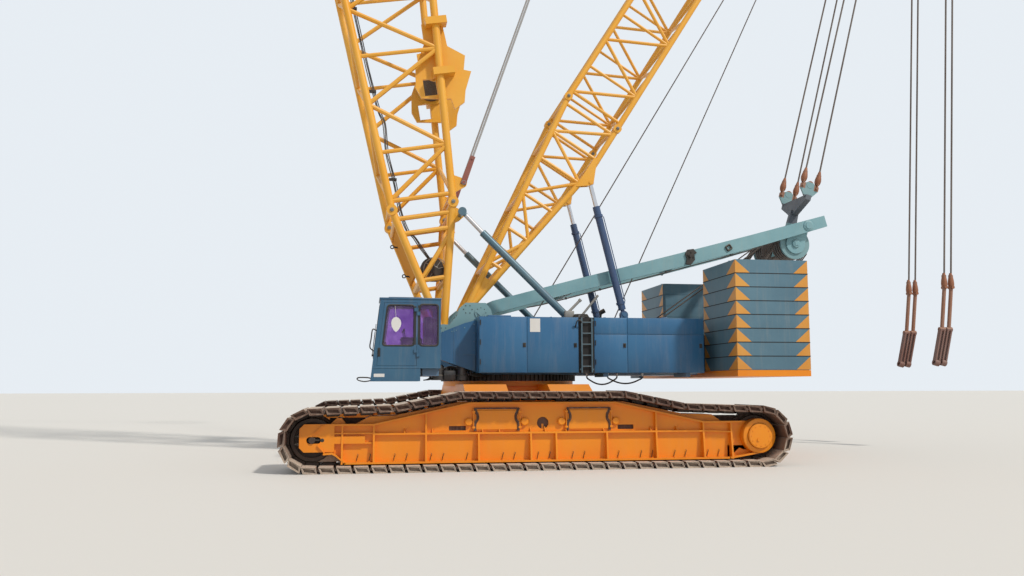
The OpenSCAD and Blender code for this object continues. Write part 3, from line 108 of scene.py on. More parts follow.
world = bpy.data.worlds.new("pale_sky")
bpy.context.scene.world = world
world.use_nodes = True
sky_tree = world.node_tree
background = sky_tree.nodes["Background"]
light_path = sky_tree.nodes.new("ShaderNodeLightPath")
seen_or_shiny = sky_tree.nodes.new("ShaderNodeMath")
seen_or_shiny.operation = "MAXIMUM"
through_glass = sky_tree.nodes.new("ShaderNodeMath")
through_glass.operation = "MAXIMUM"
strength = sky_tree.nodes.new("ShaderNodeMapRange")
strength.inputs["To Min"].default_value = SKY_LIGHT
strength.inputs["To Max"].default_value = 1.0
background.inputs["Color"].default_value = (*SKY_SEEN, 1.0)
sky_tree.links.new(light_path.outputs["Is Camera Ray"], seen_or_shiny.inputs[0])
sky_tree.links.new(light_path.outputs["Is Glossy Ray"], seen_or_shiny.inputs[1])
sky_tree.links.new(seen_or_shiny.outputs[0], through_glass.inputs[0])
sky_tree.links.new(light_path.outputs["Is Transmission Ray"], through_glass.inputs[1])
sky_tree.links.new(through_glass.outputs[0], strength.inputs["Value"])
sky_tree.links.new(strength.outputs["Result"], background.inputs["Strength"])

# %% Sun
SUN_FROM = Vector((0.55, -0.62, 0.86))

sun_data = bpy.data.lights.new("soft_sun", "SUN")
sun_data.energy = 2.3
sun_data.angle = math.radians(4.0)
sun_data.color = (1.0, 0.96, 0.90)
sun = bpy.data.objects.new("soft_sun", sun_data)
sun.rotation_mode = "QUATERNION"
sun.rotation_quaternion = SUN_FROM.to_track_quat("Z", "Y")
bpy.context.scene.collection.objects.link(sun)

# %% [markdown]
# ## How a weathered surface is made
# Almost every surface of this crane is paint that has faded in patches, run in streaks below its edges,
# gathered dust on what faces up, and broken into rust here and there. Those four effects are shared, so
# they are one node group with named inputs. Each paint then gives it its own colours and amounts.

# %% A small helper for node groups
def new_group(name, inputs, outputs):
    group = bpy.data.node_groups.new(name, "ShaderNodeTree")
    for label, kind, value in inputs:
        socket = group.interface.new_socket(label, in_out="INPUT", socket_type=kind)
        socket.default_value = value
    for label, kind in outputs:
        group.interface.new_socket(label, in_out="OUTPUT", socket_type=kind)
    return group, group.nodes.new("NodeGroupInput"), group.nodes.new("NodeGroupOutput")


def noise(tree, vector, scale, detail=4.0, roughness=0.6):
    node = tree.nodes.new("ShaderNodeTexNoise")
    node.inputs["Scale"].default_value = scale
    node.inputs["Detail"].default_value = detail
    node.inputs["Roughness"].default_value = roughness
    tree.links.new(vector, node.inputs["Vector"])
    return node.outputs["Fac"]


def remap(tree, value, low, high, to_low=0.0, to_high=1.0):
    node = tree.nodes.new("ShaderNodeMapRange")
    node.inputs["From Min"].default_value = low
    node.inputs["From Max"].default_value = high
    node.inputs["To Min"].default_value = to_low
    node.inputs["To Max"].default_value = to_high
    tree.links.new(value, node.inputs["Value"])
    return node.outputs["Result"]


def maths(tree, operation, a, b):
    node = tree.nodes.new("ShaderNodeMath")
    node.operation = operation
    for socket, value in ((node.inputs[0], a), (node.inputs[1], b)):
        if isinstance(value, (int, float)):
            socket.default_value = value
        else:
            tree.links.new(value, socket)
    return node.outputs[0]


def mix_color(tree, factor, a, b):
    node = tree.nodes.new("ShaderNodeMix")
    node.data_type = "RGBA"
    factor_in, a_in, b_in = node.inputs[0], node.inputs[6], node.inputs[7]
    for socket, value in ((factor_in, factor), (a_in, a), (b_in, b)):
        if isinstance(value, (int, float)):
            socket.default_value = value
        elif isinstance(value, tuple):
            socket.default_value = (*value, 1.0)
        else:
            tree.links.new(value, socket)
    return node.outputs[2]


# %% The weathering group
weathering, w_in, w_out = new_group(
    "weathering",
    [
        ("Position", "NodeSocketVector", (0.0, 0.0, 0.0)),
        ("Up", "NodeSocketFloat", 0.0),
        ("Paint", "NodeSocketColor", (0.5, 0.5, 0.5, 1.0)),
        ("Faded Paint", "NodeSocketColor", (0.6, 0.6, 0.6, 1.0)),
        ("Dust", "NodeSocketColor", (0.4, 0.33, 0.24, 1.0)),
        ("Rust", "NodeSocketColor", (0.16, 0.06, 0.025, 1.0)),
        ("Dust Amount", "NodeSocketFloat", 0.4),
        ("Rust Amount", "NodeSocketFloat", 0.2),
        ("Gloss Roughness", "NodeSocketFloat", 0.4),
    ],
    [("Color", "NodeSocketColor"), ("Roughness", "NodeSocketFloat"), ("Height", "NodeSocketFloat")],
)
tree = weathering
position = w_in.outputs["Position"]

streak_space = tree.nodes.new("ShaderNodeMapping")
streak_space.inputs["Scale"].default_value = (3.2, 3.2, 0.28)
tree.links.new(position, streak_space.inputs["Vector"])

patches = remap(tree, noise(tree, position, 0.7, 5.0), 0.35, 0.7)
streaks = remap(tree, noise(tree, streak_space.outputs["Vector"], 2.6, 6.0, 0.7), 0.50, 0.78)
grit = noise(tree, position, 38.0, 3.0)
rust_spread = noise(tree, position, 5.5, 8.0, 0.75)

faded = mix_color(tree, patches, w_in.outputs["Paint"], w_in.outputs["Faded Paint"])
up_share = remap(tree, w_in.outputs["Up"], 0.15, 0.95)
dust_here = maths(tree, "ADD", maths(tree, "MULTIPLY", up_share, 0.85), maths(tree, "MULTIPLY", streaks, 0.42))
dust_grainy = maths(tree, "MULTIPLY", dust_here, remap(tree, grit, 0.25, 0.65, 0.55, 1.0))
dust_mask = maths(tree, "MULTIPLY", dust_grainy, w_in.outputs["Dust Amount"])
dusty = mix_color(tree, dust_mask, faded, w_in.outputs["Dust"])
rust_edge = maths(tree, "SUBTRACT", 0.80, maths(tree, "MULTIPLY", w_in.outputs["Rust Amount"], 0.22))
rust_mask = maths(tree, "MULTIPLY", maths(tree, "SUBTRACT", rust_spread, rust_edge), 16.0)
rust_clean = remap(tree, rust_mask, 0.0, 1.0)
rusty = mix_color(tree, rust_clean, dusty, w_in.outputs["Rust"])
rough = maths(tree, "ADD", w_in.outputs["Gloss Roughness"], maths(tree, "MULTIPLY", dust_mask, 0.45))
rougher = maths(tree, "MAXIMUM", rough, maths(tree, "MULTIPLY", rust_clean, 0.85))
height = maths(tree, "ADD", maths(tree, "MULTIPLY", rust_clean, -0.4), maths(tree, "MULTIPLY", grit, 0.25))
tree.links.new(rusty, w_out.inputs["Color"])
tree.links.new(rougher, w_out.inputs["Roughness"])
tree.links.new(height, w_out.inputs["Height"])

# %% [markdown]
# ## The finishes
# A finish is a material that reads the piece's own Object coordinates and the way its surface faces, and
# hands both to the weathering group. The shader stays in the material, so its plain values, such as the
# metallic one, sit on its own sockets.

# %% Material helpers
DUST = (0.46, 0.36, 0.25)


def start_material(name):
    material = bpy.data.materials.new(name)
    material.use_nodes = True
    tree = material.node_tree
    coords = tree.nodes.new("ShaderNodeTexCoord")
    return material, tree, tree.nodes["Principled BSDF"], coords.outputs["Object"]


def facing_up(tree):
    geometry = tree.nodes.new("ShaderNodeNewGeometry")
    split = tree.nodes.new("ShaderNodeSeparateXYZ")
    tree.links.new(geometry.outputs["Normal"], split.inputs["Vector"])
    return split.outputs["Z"]


def add_bump(tree, shader, height, distance):
    bump = tree.nodes.new("ShaderNodeBump")
    bump.inputs["Strength"].default_value = 0.6
    bump.inputs["Distance"].default_value = distance
    tree.links.new(height, bump.inputs["Height"])
    tree.links.new(bump.outputs["Normal"], shader.inputs["Normal"])


def facing_up_or_low_side(tree, position):
    """Counts a side face near the ground as facing up, so that it is made as pale as a top."""
    place = tree.nodes.new("ShaderNodeSeparateXYZ")
    tree.links.new(position, place.inputs["Vector"])
    low = remap(tree, place.outputs["Z"], 0.25, 0.75, 0.75, 0.0)
    geometry = tree.nodes.new("ShaderNodeNewGeometry")
    facing = tree.nodes.new("ShaderNodeSeparateXYZ")
    tree.links.new(geometry.outputs["Normal"], facing.inputs["Vector"])
    sideways = maths(tree, "ABSOLUTE", facing.outputs["Y"], 0.0)
    return maths(tree, "MAXIMUM", facing.outputs["Z"], maths(tree, "MULTIPLY", low, sideways))


def weathered(name, paint, faded, dust_amount, rust_amount, roughness, metallic=0.0, dust=DUST, bump=0.002,
              near_ground=False):
    material, tree, shader, position = start_material(name)
    wear = tree.nodes.new("ShaderNodeGroup")
    wear.node_tree = weathering
    tree.links.new(position, wear.inputs["Position"])
    up = facing_up_or_low_side(tree, position) if near_ground else facing_up(tree)
    tree.links.new(up, wear.inputs["Up"])
    wear.inputs["Paint"].default_value = (*paint, 1.0)
    wear.inputs["Faded Paint"].default_value = (*faded, 1.0)
    wear.inputs["Dust"].default_value = (*dust, 1.0)
    wear.inputs["Dust Amount"].default_value = dust_amount
    wear.inputs["Rust Amount"].default_value = rust_amount
    wear.inputs["Gloss Roughness"].default_value = roughness
    shader.inputs["Metallic"].default_value = metallic
    tree.links.new(wear.outputs["Color"], shader.inputs["Base Color"])
    tree.links.new(wear.outputs["Roughness"], shader.inputs["Roughness"])
    add_bump(tree, shader, wear.outputs["Height"], bump)
    return material


# %% Paints
orange_paint = weathered("orange_paint", (0.80, 0.235, 0.002), (0.84, 0.275, 0.004), 0.16, 0.22, 0.40)
house_paint = weathered("house_paint", (0.022, 0.115, 0.25), (0.035, 0.15, 0.30), 0.35, 0.12, 0.36)
cab_paint = weathered("cab_paint", (0.028, 0.100, 0.190), (0.042, 0.135, 0.225), 0.35, 0.12, 0.36)
slab_paint = weathered("slab_paint", (0.070, 0.150, 0.205), (0.105, 0.205, 0.265), 0.45, 0.35, 0.5)
boom_paint = weathered("boom_paint", (0.80, 0.36, 0.020), (0.83, 0.43, 0.06), 0.28, 0.42, 0.42)
pale_paint = weathered("pale_paint", (0.165, 0.33, 0.37), (0.25, 0.43, 0.46), 0.45, 0.40, 0.5)
navy_paint = weathered("navy_paint", (0.035, 0.07, 0.16), (0.05, 0.10, 0.20), 0.35, 0.2, 0.35)
sill_paint = weathered("sill_paint", (0.62, 0.25, 0.03), (0.70, 0.33, 0.06), 0.35, 0.25, 0.45)

# %% Bare metals
SHOE_DUST = (0.72, 0.60, 0.48)
shoe_steel = weathered("shoe_steel", (0.10, 0.050, 0.035), (0.19, 0.11, 0.075), 1.0, 0.5, 0.6, 0.1, SHOE_DUST,
                       near_ground=True)
# Holes of the shoes: rust, with painted shade for the dark inside of each cavity. Inside the track frames it is
# painted shade alone.
pocket_rust_and_shade = weathered("pocket_rust_and_shade", (0.075, 0.036, 0.026), (0.13, 0.07, 0.05), 0.7, 0.5, 0.8, dust=SHOE_DUST,
                        near_ground=True)
worn_grey = weathered("worn_grey", (0.20, 0.195, 0.18), (0.31, 0.30, 0.28), 0.3, 0.4, 0.5, 0.2)
deep_shadow = weathered("deep_shadow", (0.010, 0.010, 0.011), (0.020, 0.019, 0.018), 0.2, 0.1, 0.8)
chain_steel = weathered("chain_steel", (0.055, 0.035, 0.027), (0.10, 0.065, 0.05), 0.45, 0.5, 0.55, 0.3)
dark_iron = weathered("dark_iron", (0.035, 0.032, 0.030), (0.07, 0.062, 0.055), 0.35, 0.5, 0.5, 0.6)
rusty_iron = weathered("rusty_iron", (0.24, 0.085, 0.04), (0.33, 0.14, 0.075), 0.25, 0.8, 0.6, 0.3)
zinc_steel = weathered("zinc_steel", (0.40, 0.39, 0.38), (0.52, 0.51, 0.50), 0.3, 0.3, 0.35, 0.9)
chrome_rod = weathered("chrome_rod", (0.60, 0.60, 0.62), (0.70, 0.70, 0.72), 0.15, 0.0, 0.14, 1.0, bump=0.0002)
oily_iron = weathered("oily_iron", (0.045, 0.045, 0.047), (0.12, 0.115, 0.11), 0.35, 0.45, 0.4, 0.4)
ladder_paint = weathered("ladder_paint", (0.055, 0.11, 0.15), (0.10, 0.17, 0.21), 0.35, 0.35, 0.5)
rubber = weathered("rubber", (0.014, 0.014, 0.015), (0.03, 0.029, 0.028), 0.35, 0.0, 0.6)
blank_white = weathered("blank_white", (0.70, 0.69, 0.66), (0.78, 0.77, 0.74), 0.25, 0.0, 0.45)
seat_fabric = weathered("seat_fabric", (0.05, 0.02, 0.05), (0.09, 0.03, 0.07), 0.1, 0.0, 0.85)
red_trim = weathered("red_trim", (0.45, 0.01, 0.02), (0.50, 0.03, 0.03), 0.1, 0.0, 0.5)
print("painted and metal finishes:", len(bpy.data.materials))

# %% [markdown]
# Wire rope has strands that run round it at a slant. At this size a wave texture does: its bands cross
# the rope and darken and dent it, which reads as lay from a step away.

# %% Wire rope
rope_wire, tree, shader, position = start_material("rope_wire")
lay = tree.nodes.new("ShaderNodeTexWave")
lay.inputs["Scale"].default_value = 9.0
lay.inputs["Distortion"].default_value = 1.5
lay.bands_direction = "DIAGONAL"
tree.links.new(position, lay.inputs["Vector"])
strands = mix_color(tree, lay.outputs["Fac"], (0.035, 0.028, 0.025), (0.16, 0.125, 0.105))
tree.links.new(strands, shader.inputs["Base Color"])
shader.inputs["Metallic"].default_value = 0.5
shader.inputs["Roughness"].default_value = 0.55
add_bump(tree, shader, lay.outputs["Fac"], 0.004)

# %% [markdown]
# The cab's panes wear a violet sun film. It lets a little light through, mirrors the sky, and is mottled
# where it has aged, so its colour comes from a soft noise.

# %% Violet glass
violet_glass, tree, shader, position = start_material("violet_glass")
film = remap(tree, noise(tree, position, 2.2, 3.0), 0.40, 0.60)
film_color = mix_color(tree, film, (0.36, 0.17, 0.56), (0.62, 0.42, 0.80))
tree.links.new(film_color, shader.inputs["Base Color"])
shader.inputs["Transmission Weight"].default_value = 0.9
shader.inputs["Roughness"].default_value = 0.08
shader.inputs["IOR"].default_value = 1.45

# %% [markdown]
# ## Finishes for the CAD nodes
# Each CAD node gets one finish over all of its faces. Six nodes that carry more than one colour, such as
# the upper frame with its pale cheeks, get their own finish further down, and the two plain track loops
# are replaced by cast shoes.

# %% Give each node its finish
finish_of = {
    "carbody": orange_paint, "slew_ring": dark_iron, "track_frame_left": orange_paint,
    "track_frame_right": orange_paint, "track_left": shoe_steel, "track_right": shoe_steel,
    "idlers": chain_steel, "sprockets": chain_steel, "rollers": chain_steel,
    "upper_frame": house_paint, "front_covers": house_paint, "house_left": house_paint,
    "house_right": house_paint, "engine_block": dark_iron, "winch_drums": dark_iron,
    "ladder": ladder_paint, "deck_sheaves": pale_paint, "counterweight_base": orange_paint,
    "counterweight_left": slab_paint, "counterweight_right": slab_paint, "cab_shell": cab_paint,
    "cab_glass": violet_glass, "cab_interior": seat_fabric, "cab_door": cab_paint,
    "cab_door_glass": violet_glass, "boom_foot": boom_paint, "boom_taper": boom_paint,
    "boom_inserts": boom_paint, "boom_head": boom_paint, "boom_winch": boom_paint,
    "hose_reel": dark_iron, "boom_backstops": navy_paint, "boom_stays": rope_wire,
    "hook_block": boom_paint, "hook": dark_iron, "mast_foot": boom_paint, "mast_insert": boom_paint,
    "mast_head": boom_paint, "mast_stays": rusty_iron, "hanging_pendants": rusty_iron,
    "a_frame": pale_paint, "a_frame_sheaves": pale_paint, "mast_stop_barrels": navy_paint,
    "mast_stop_rods": chrome_rod,
}
for name, node in nodes.items():
    node.data.materials.clear()
    node.data.materials.append(finish_of[name])
    for face in node.data.polygons:
        face.use_smooth = True
    node.data.set_sharp_from_angle(angle=math.radians(30.0))
print("nodes with a finish:", len(finish_of))

# %% [markdown]
# ## Modelling helpers
# Each small part starts from a bmesh shape: a cube, a cone, a circle or a spun profile. A piece collects
# many of them in one mesh, and is closed by one call that turns its faces outwards, marks its sharp
# edges, and makes it ride on its CAD body.

# %% Boxes, rods, plates and spun parts
def aimed(along):
    """The turn that points Z along a direction."""
    return Vector(along).to_track_quat("Z", "Y").to_matrix().to_4x4()


def only_verts(items):
    return [item for item in items if isinstance(item, bmesh.types.BMVert)]


def box(bm, low, high, bevel=0.0, segments=2):
    low, high = Vector(low), Vector(high)
    verts = bmesh.ops.create_cube(bm, size=1.0)["verts"]
    bmesh.ops.scale(bm, vec=high - low, verts=verts)
    bmesh.ops.translate(bm, vec=(low + high) / 2, verts=verts)
    if bevel:
        edges = list({edge for vert in verts for edge in vert.link_edges})
        bmesh.ops.bevel(bm, geom=edges, offset=bevel, segments=segments, profile=0.5, material=-1,
                        affect="EDGES")
    return verts


def rod(bm, a, b, radius, sides=12):
    a, b = Vector(a), Vector(b)
    bmesh.ops.create_cone(bm, cap_ends=True, segments=sides, radius1=radius, radius2=radius,
                          depth=(b - a).length, matrix=Matrix.Translation((a + b) / 2) @ aimed(b - a))


def pushed(bm, corners, push):
    """A face through corners, extruded by push."""
    face = bm.faces.new([bm.verts.new(corner) for corner in corners])
    grown = bmesh.ops.extrude_face_region(bm, geom=[face])["geom"]
    bmesh.ops.translate(bm, vec=push, verts=only_verts(grown))


def plate(bm, outline, y0, y1):
    """An outline in X and Z, extruded from y0 to y1."""
    pushed(bm, [(x, y0, z) for x, z in outline], (0.0, y1 - y0, 0.0))


def spun(bm, profile, centre, along=(0.0, 1.0, 0.0), steps=32):
    """A profile of (radius, height) points, spun round a line through centre."""
    ring = [bm.verts.new((radius, 0.0, height)) for radius, height in profile]
    edges = [bm.edges.new(pair) for pair in zip(ring, ring[1:])]
    before = set(bm.verts) - set(ring)
    bmesh.ops.spin(bm, geom=ring + edges, cent=(0.0, 0.0, 0.0), axis=(0.0, 0.0, 1.0),
                   angle=math.tau, steps=steps, use_merge=True, use_duplicate=False)
    verts = [vert for vert in bm.verts if vert not in before]
    bmesh.ops.transform(bm, matrix=Matrix.Translation(Vector(centre)) @ aimed(along), verts=verts)


# %% Tubes along a line
def smooth_line(points, steps=8):
    """A smooth line through a few given points."""
    points = [Vector(p) for p in points]
    padded = [2 * points[0] - points[1], *points, 2 * points[-1] - points[-2]]
    line = []
    for p0, p1, p2, p3 in zip(padded, padded[1:], padded[2:], padded[3:]):
        for i in range(steps):
            t = i / steps
            line.append(0.5 * ((2 * p1) + (p2 - p0) * t + (2 * p0 - 5 * p1 + 4 * p2 - p3) * t * t
                               + (3 * p1 - p0 - 3 * p2 + p3) * t * t * t))
    line.append(points[-1])
    return line


def tube(bm, line, radius, sides=8):
    """Rings along a line, bridged one to the next, with both ends closed."""
    line = [Vector(p) for p in line]
    ahead = (line[1] - line[0]).normalized()
    turn = ahead.to_track_quat("Z", "Y")
    last_edges = None
    for i, point in enumerate(line):
        target = (line[min(i + 1, len(line) - 1)] - line[max(i - 1, 0)]).normalized()
        turn = ahead.rotation_difference(target) @ turn
        ahead = target
        place = Matrix.Translation(point) @ turn.to_matrix().to_4x4()
        closed = i in (0, len(line) - 1)
        verts = bmesh.ops.create_circle(bm, cap_ends=closed, segments=sides, radius=radius, matrix=place)["verts"]
        edges = list({edge for vert in verts for edge in vert.link_edges})
        if last_edges:
            bmesh.ops.bridge_loops(bm, edges=last_edges + edges)
        last_edges = edges


# %% Copies and mirror images
def stamp(bm, part, places):
    """Adds a copy of a small mesh at each matrix."""
    for place in places:
        placed = part.copy()
        placed.transform(place)
        bm.from_mesh(placed)
        bpy.data.meshes.remove(placed)


def both_sides(bm):
    """Adds the mirror image of everything so far on the crane's other side."""
    copy = bmesh.ops.duplicate(bm, geom=bm.verts[:] + bm.edges[:] + bm.faces[:])["geom"]
    bmesh.ops.scale(bm, vec=(1.0, -1.0, 1.0), verts=only_verts(copy))


def close_piece(bm, name, body, material, sharp=32.0):
    bmesh.ops.recalc_face_normals(bm, faces=bm.faces[:])
    mesh = bpy.data.meshes.new(name)
    bm.to_mesh(mesh)
    bm.free()
    for face in mesh.polygons:
        face.use_smooth = True
    mesh.set_sharp_from_angle(angle=math.radians(sharp))
    mesh.materials.append(material)
    piece = bpy.data.objects.new(name, mesh)
    bpy.context.scene.collection.objects.link(piece)
    if body:
        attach(piece, body)
    print(name, "faces:", len(mesh.polygons))
    return piece


# %% [markdown]
# ## A bolt
# A hexagonal head on a washer is the part that repeats most on this crane. It is made once, looking
# along +Z, with a rounded top edge, and then stamped where bolts sit.

# %% One bolt, for stamping
bolt_shape = bmesh.new()
bmesh.ops.create_cone(bolt_shape, cap_ends=True, segments=12, radius1=1.0, radius2=1.0, depth=0.25,
                      matrix=Matrix.Translation((0.0, 0.0, 0.125)))
bmesh.ops.create_cone(bolt_shape, cap_ends=True, segments=6, radius1=0.78, radius2=0.70, depth=0.65,
                      matrix=Matrix.Translation((0.0, 0.0, 0.55)))
bolt = bpy.data.meshes.new("bolt_shape")
bolt_shape.to_mesh(bolt)
bolt_shape.free()


def bolt_place(at, along, size):
    return Matrix.Translation(Vector(at)) @ aimed(along) @ Matrix.Scale(size, 4)


def bolt_circle(centre, along, radius, count, size):
    """Places of bolts evenly round a centre."""
    turn = aimed(along)
    centre = Vector(centre)
    places = []
    for i in range(count):
        angle = math.tau * i / count
        spot = centre + turn @ Vector((radius * math.cos(angle), radius * math.sin(angle), 0.0))
        places.append(bolt_place(spot, along, size))
    return places

# %% [markdown]
# ## The tracks
# A shoe of this crane is a hollow steel casting. From the side its end is a leaning box with a raised rim
# and a dark hole, and a pin shows between it and the next. One shoe is modelled with these, and stamped
# round the same line that the CAD loop follows. What faces up is pale with dust, and side faces near the
# ground are made as pale, while those higher up stay darker. Its holes are dark with rust and painted shade,
# and the links inside the loop are dark with oil, so the mesh carries three finishes.

# %% The line that the soles follow
GAUGE = 8.4
END_R = 0.62
END_X = 5.2 - END_R
KNEE = (2.95, 2 * END_R + 0.06)
CROWN = (1.70, 1.55)
SHOE_PITCH = 0.33
SHOE_HALF_W = 0.75
SHOE_DEPTH = 0.13


def half_circle(centre_x, start_deg, steps=16):
    turns = [math.radians(start_deg + 180.0 * i / steps) for i in range(steps + 1)]
    return [Vector((centre_x + END_R * math.cos(a), 0.0, END_R + END_R * math.sin(a))) for a in turns]


upper_run = [Vector((side * x, 0.0, z)) for side, x, z in
             ((1, *KNEE), (1, *CROWN), (-1, *CROWN), (-1, *KNEE))]
sole_line = [Vector((-END_X, 0.0, 0.0)), *half_circle(END_X, -90), *upper_run, *half_circle(-END_X, 90)]
run_lengths = [(b - a).length for a, b in zip(sole_line, sole_line[1:])]
loop_length = sum(run_lengths)
shoe_count = round(loop_length / SHOE_PITCH)


def on_loop(distance):
    distance %= loop_length
    for a, b, run in zip(sole_line, sole_line[1:], run_lengths):
        if distance <= run:
            return a.lerp(b, distance / run)
        distance -= run
    return sole_line[-1]


def shoe_place(index, side):
    """A matrix whose X runs along the track, and whose Z points into the loop."""
    middle = index * loop_length / shoe_count
    point = on_loop(middle)
    along = (on_loop(middle + 0.05) - on_loop(middle - 0.05)).normalized()
    across = Vector((0.0, 1.0, 0.0))
    inward = Vector((-along.z, 0.0, along.x))
    turn = Matrix((along, across, inward)).transposed().to_4x4()
    return Matrix.Translation(point + Vector((0.0, side * GAUGE / 2, 0.0))) @ turn


print("shoes in a track:", shoe_count)

# %% One track shoe
SHOE_LEN = 0.272
SHOE_LEAN = 0.046
RIM = 0.016
RECESS = 0.012
HOLE_EDGE = 0.030
HOLE_DEPTH = 0.06
GROUSER = 0.012
LINK_Y = 0.155
HOLE, CHAIN = 1, 2


def sink(bm, face, edge, depth):
    """Insets a face, then pushes it into the solid. Returns the sunk face and its walls."""
    bmesh.ops.inset_individual(bm, faces=[face], thickness=edge)
    into = face.normal * -depth
    before = set(bm.faces)
    grown = bmesh.ops.extrude_face_region(bm, geom=[face])["geom"]
    bmesh.ops.translate(bm, vec=into, verts=only_verts(grown))
    floor = next(item for item in grown if isinstance(item, bmesh.types.BMFace))
    bmesh.ops.delete(bm, geom=[face], context="FACES_ONLY")
    return floor, set(bm.faces) - before


shoe_shape = bmesh.new()
for vert in box(shoe_shape, (-SHOE_LEN / 2, -SHOE_HALF_W, 0.0), (SHOE_LEN / 2, SHOE_HALF_W, SHOE_DEPTH)):
    if vert.co.z > 0.01:
        vert.co.x -= SHOE_LEAN
shoe_shape.normal_update()
for end in [face for face in shoe_shape.faces if abs(face.normal.y) > 0.9]:
    recess, _ = sink(shoe_shape, end, RIM, RECESS)
    recess.normal_update()
    _, walls = sink(shoe_shape, recess, HOLE_EDGE, HOLE_DEPTH)
    for face in walls:
        face.material_index = HOLE
shoe_shape.normal_update()
sole = [face for face in shoe_shape.faces if face.normal.z < -0.9 and face.calc_area() > 0.3]
bmesh.ops.inset_region(shoe_shape, faces=sole, thickness=0.045, use_even_offset=True)
bmesh.ops.translate(shoe_shape, vec=(0.0, 0.0, GROUSER), verts=list({v for f in sole for v in f.verts}))
shell_faces = set(shoe_shape.faces)
for side in (-1, 1):
    box(shoe_shape, (-0.13, side * LINK_Y - 0.045, SHOE_DEPTH - 0.02),
        (0.13, side * LINK_Y + 0.045, 0.188), 0.012, 1)
rod(shoe_shape, (0.145, -0.30, 0.11), (0.145, 0.30, 0.11), 0.030, 10)
for side in (-1, 1):
    rod(shoe_shape, (0.150, side * 0.735, 0.078), (0.150, side * 0.30, 0.078), 0.026, 10)
for face in set(shoe_shape.faces) - shell_faces:
    face.material_index = CHAIN
shoe = bpy.data.meshes.new("shoe_shape")
shoe_shape.to_mesh(shoe)
shoe_shape.free()
print("faces of one shoe:", len(shoe.polygons))

# %% Both tracks
for side, word in ((-1, "left"), (1, "right")):
    track = bmesh.new()
    stamp(track, shoe, [shoe_place(i, side) for i in range(shoe_count)])
    shoes = close_piece(track, "track_shoes_" + word, "undercarriage", shoe_steel)
    shoes.data.materials.append(pocket_rust_and_shade)
    shoes.data.materials.append(chain_steel)
    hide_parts("track_" + word)

# %% [markdown]
# ## Bolts and covers on the track frames
# The side of a track frame carries the final drive's cover with its ring of bolts, the pins and keepers
# beside each hatch, the tensioner's bar at the front, and two bolts with a bent lock tab over each
# roller. All of them stand on the side plate, so they are built once on the left and mirrored.

# %% Track frame fittings
WEB_FACE = GAUGE / 2 + 0.34
DRIVE_X = END_X
OUT = (0.0, -1.0, 0.0)
ROLLER_COUNT, ROLLER_FIRST, ROLLER_STEP = 11, -3.6, 0.72
BOLT_ASIDE = 0.12
LAST_BOLT = 3.88
bolt_xs = [ROLLER_FIRST + i * ROLLER_STEP + aside
           for i in range(ROLLER_COUNT) for aside in (-BOLT_ASIDE, BOLT_ASIDE)]
roller_bolt_xs = [x for x in bolt_xs if abs(x) < LAST_BOLT]

fittings = bmesh.new()
outer = -WEB_FACE
cover_y = outer - 0.16
spun(fittings, [(0.0, -0.012), (0.345, -0.012), (0.352, 0.0), (0.352, 0.02), (0.30, 0.035), (0.27, 0.035)],
     (DRIVE_X, cover_y, END_R), OUT, 48)
spun(fittings, [(0.262, 0.0), (0.262, 0.075), (0.245, 0.09), (0.10, 0.095), (0.0, 0.095)],
     (DRIVE_X, cover_y, END_R), OUT, 48)
stamp(fittings, bolt, bolt_circle((DRIVE_X, cover_y - 0.012, END_R), OUT, 0.322, 20, 0.016))
stamp(fittings, bolt, bolt_circle((DRIVE_X, cover_y - 0.09, END_R), OUT, 0.205, 12, 0.014))
rod(fittings, (DRIVE_X - 0.06, cover_y - 0.10, END_R - 0.08),
    (DRIVE_X - 0.06, cover_y - 0.115, END_R - 0.08), 0.03)
for hatch_x in (-0.95, 0.95):
    low, high = hatch_x - 0.43, hatch_x + 0.43
    box(fittings, (low, outer - 0.042, 0.79), (high, outer - 0.02, 1.18), 0.008, 1)
    for edge_x, side in ((low - 0.04, -1), (high + 0.04, 1)):
        rod(fittings, (edge_x, outer - 0.05, 0.80), (edge_x, outer - 0.05, 1.20), 0.013, 8)
        for z in (0.84, 1.15):
            box(fittings, (edge_x - 0.03, outer - 0.075, z - 0.02), (edge_x + 0.03, outer, z + 0.02), 0.005, 1)
        spun(fittings, [(0.0, 0.0), (0.078, 0.0), (0.078, 0.05), (0.062, 0.065), (0.0, 0.065)],
             (edge_x + side * 0.10, outer - 0.01, 0.95), OUT, 20)
        stamp(fittings, bolt, bolt_circle((edge_x + side * 0.10, outer - 0.06, 0.95), OUT, 0.042, 5, 0.010))
for x in roller_bolt_xs:
    stamp(fittings, bolt, [bolt_place((x, outer - 0.085, 0.19), (0, 0, 1), 0.022)])
    box(fittings, (x - 0.035, outer - 0.004, 0.20), (x + 0.035, outer + 0.01, 0.27), 0.004, 1)
both_sides(fittings)
close_piece(fittings, "track_frame_fittings", "undercarriage", orange_paint)

# %% [markdown]
# The lower flange turns up at both ends of a track frame, towards the idler and round the final drive. A
# guide rail carries the upper run past the knees. Thin shelves and small gussets stiffen the side plate.

# %% Track frame skins
FLANGE_REACH = 0.16
FLANGE_T = 0.035
SHELF_Z = 0.7475
GUSSET_T = 0.018


def bent_strip(bm, line, thickness, y0, y1):
    """A strip that follows a line of points in X and Z, with its thickness below the line."""
    below = [(x, z - thickness) for x, z in reversed(line)]
    plate(bm, line + below, y0, y1)


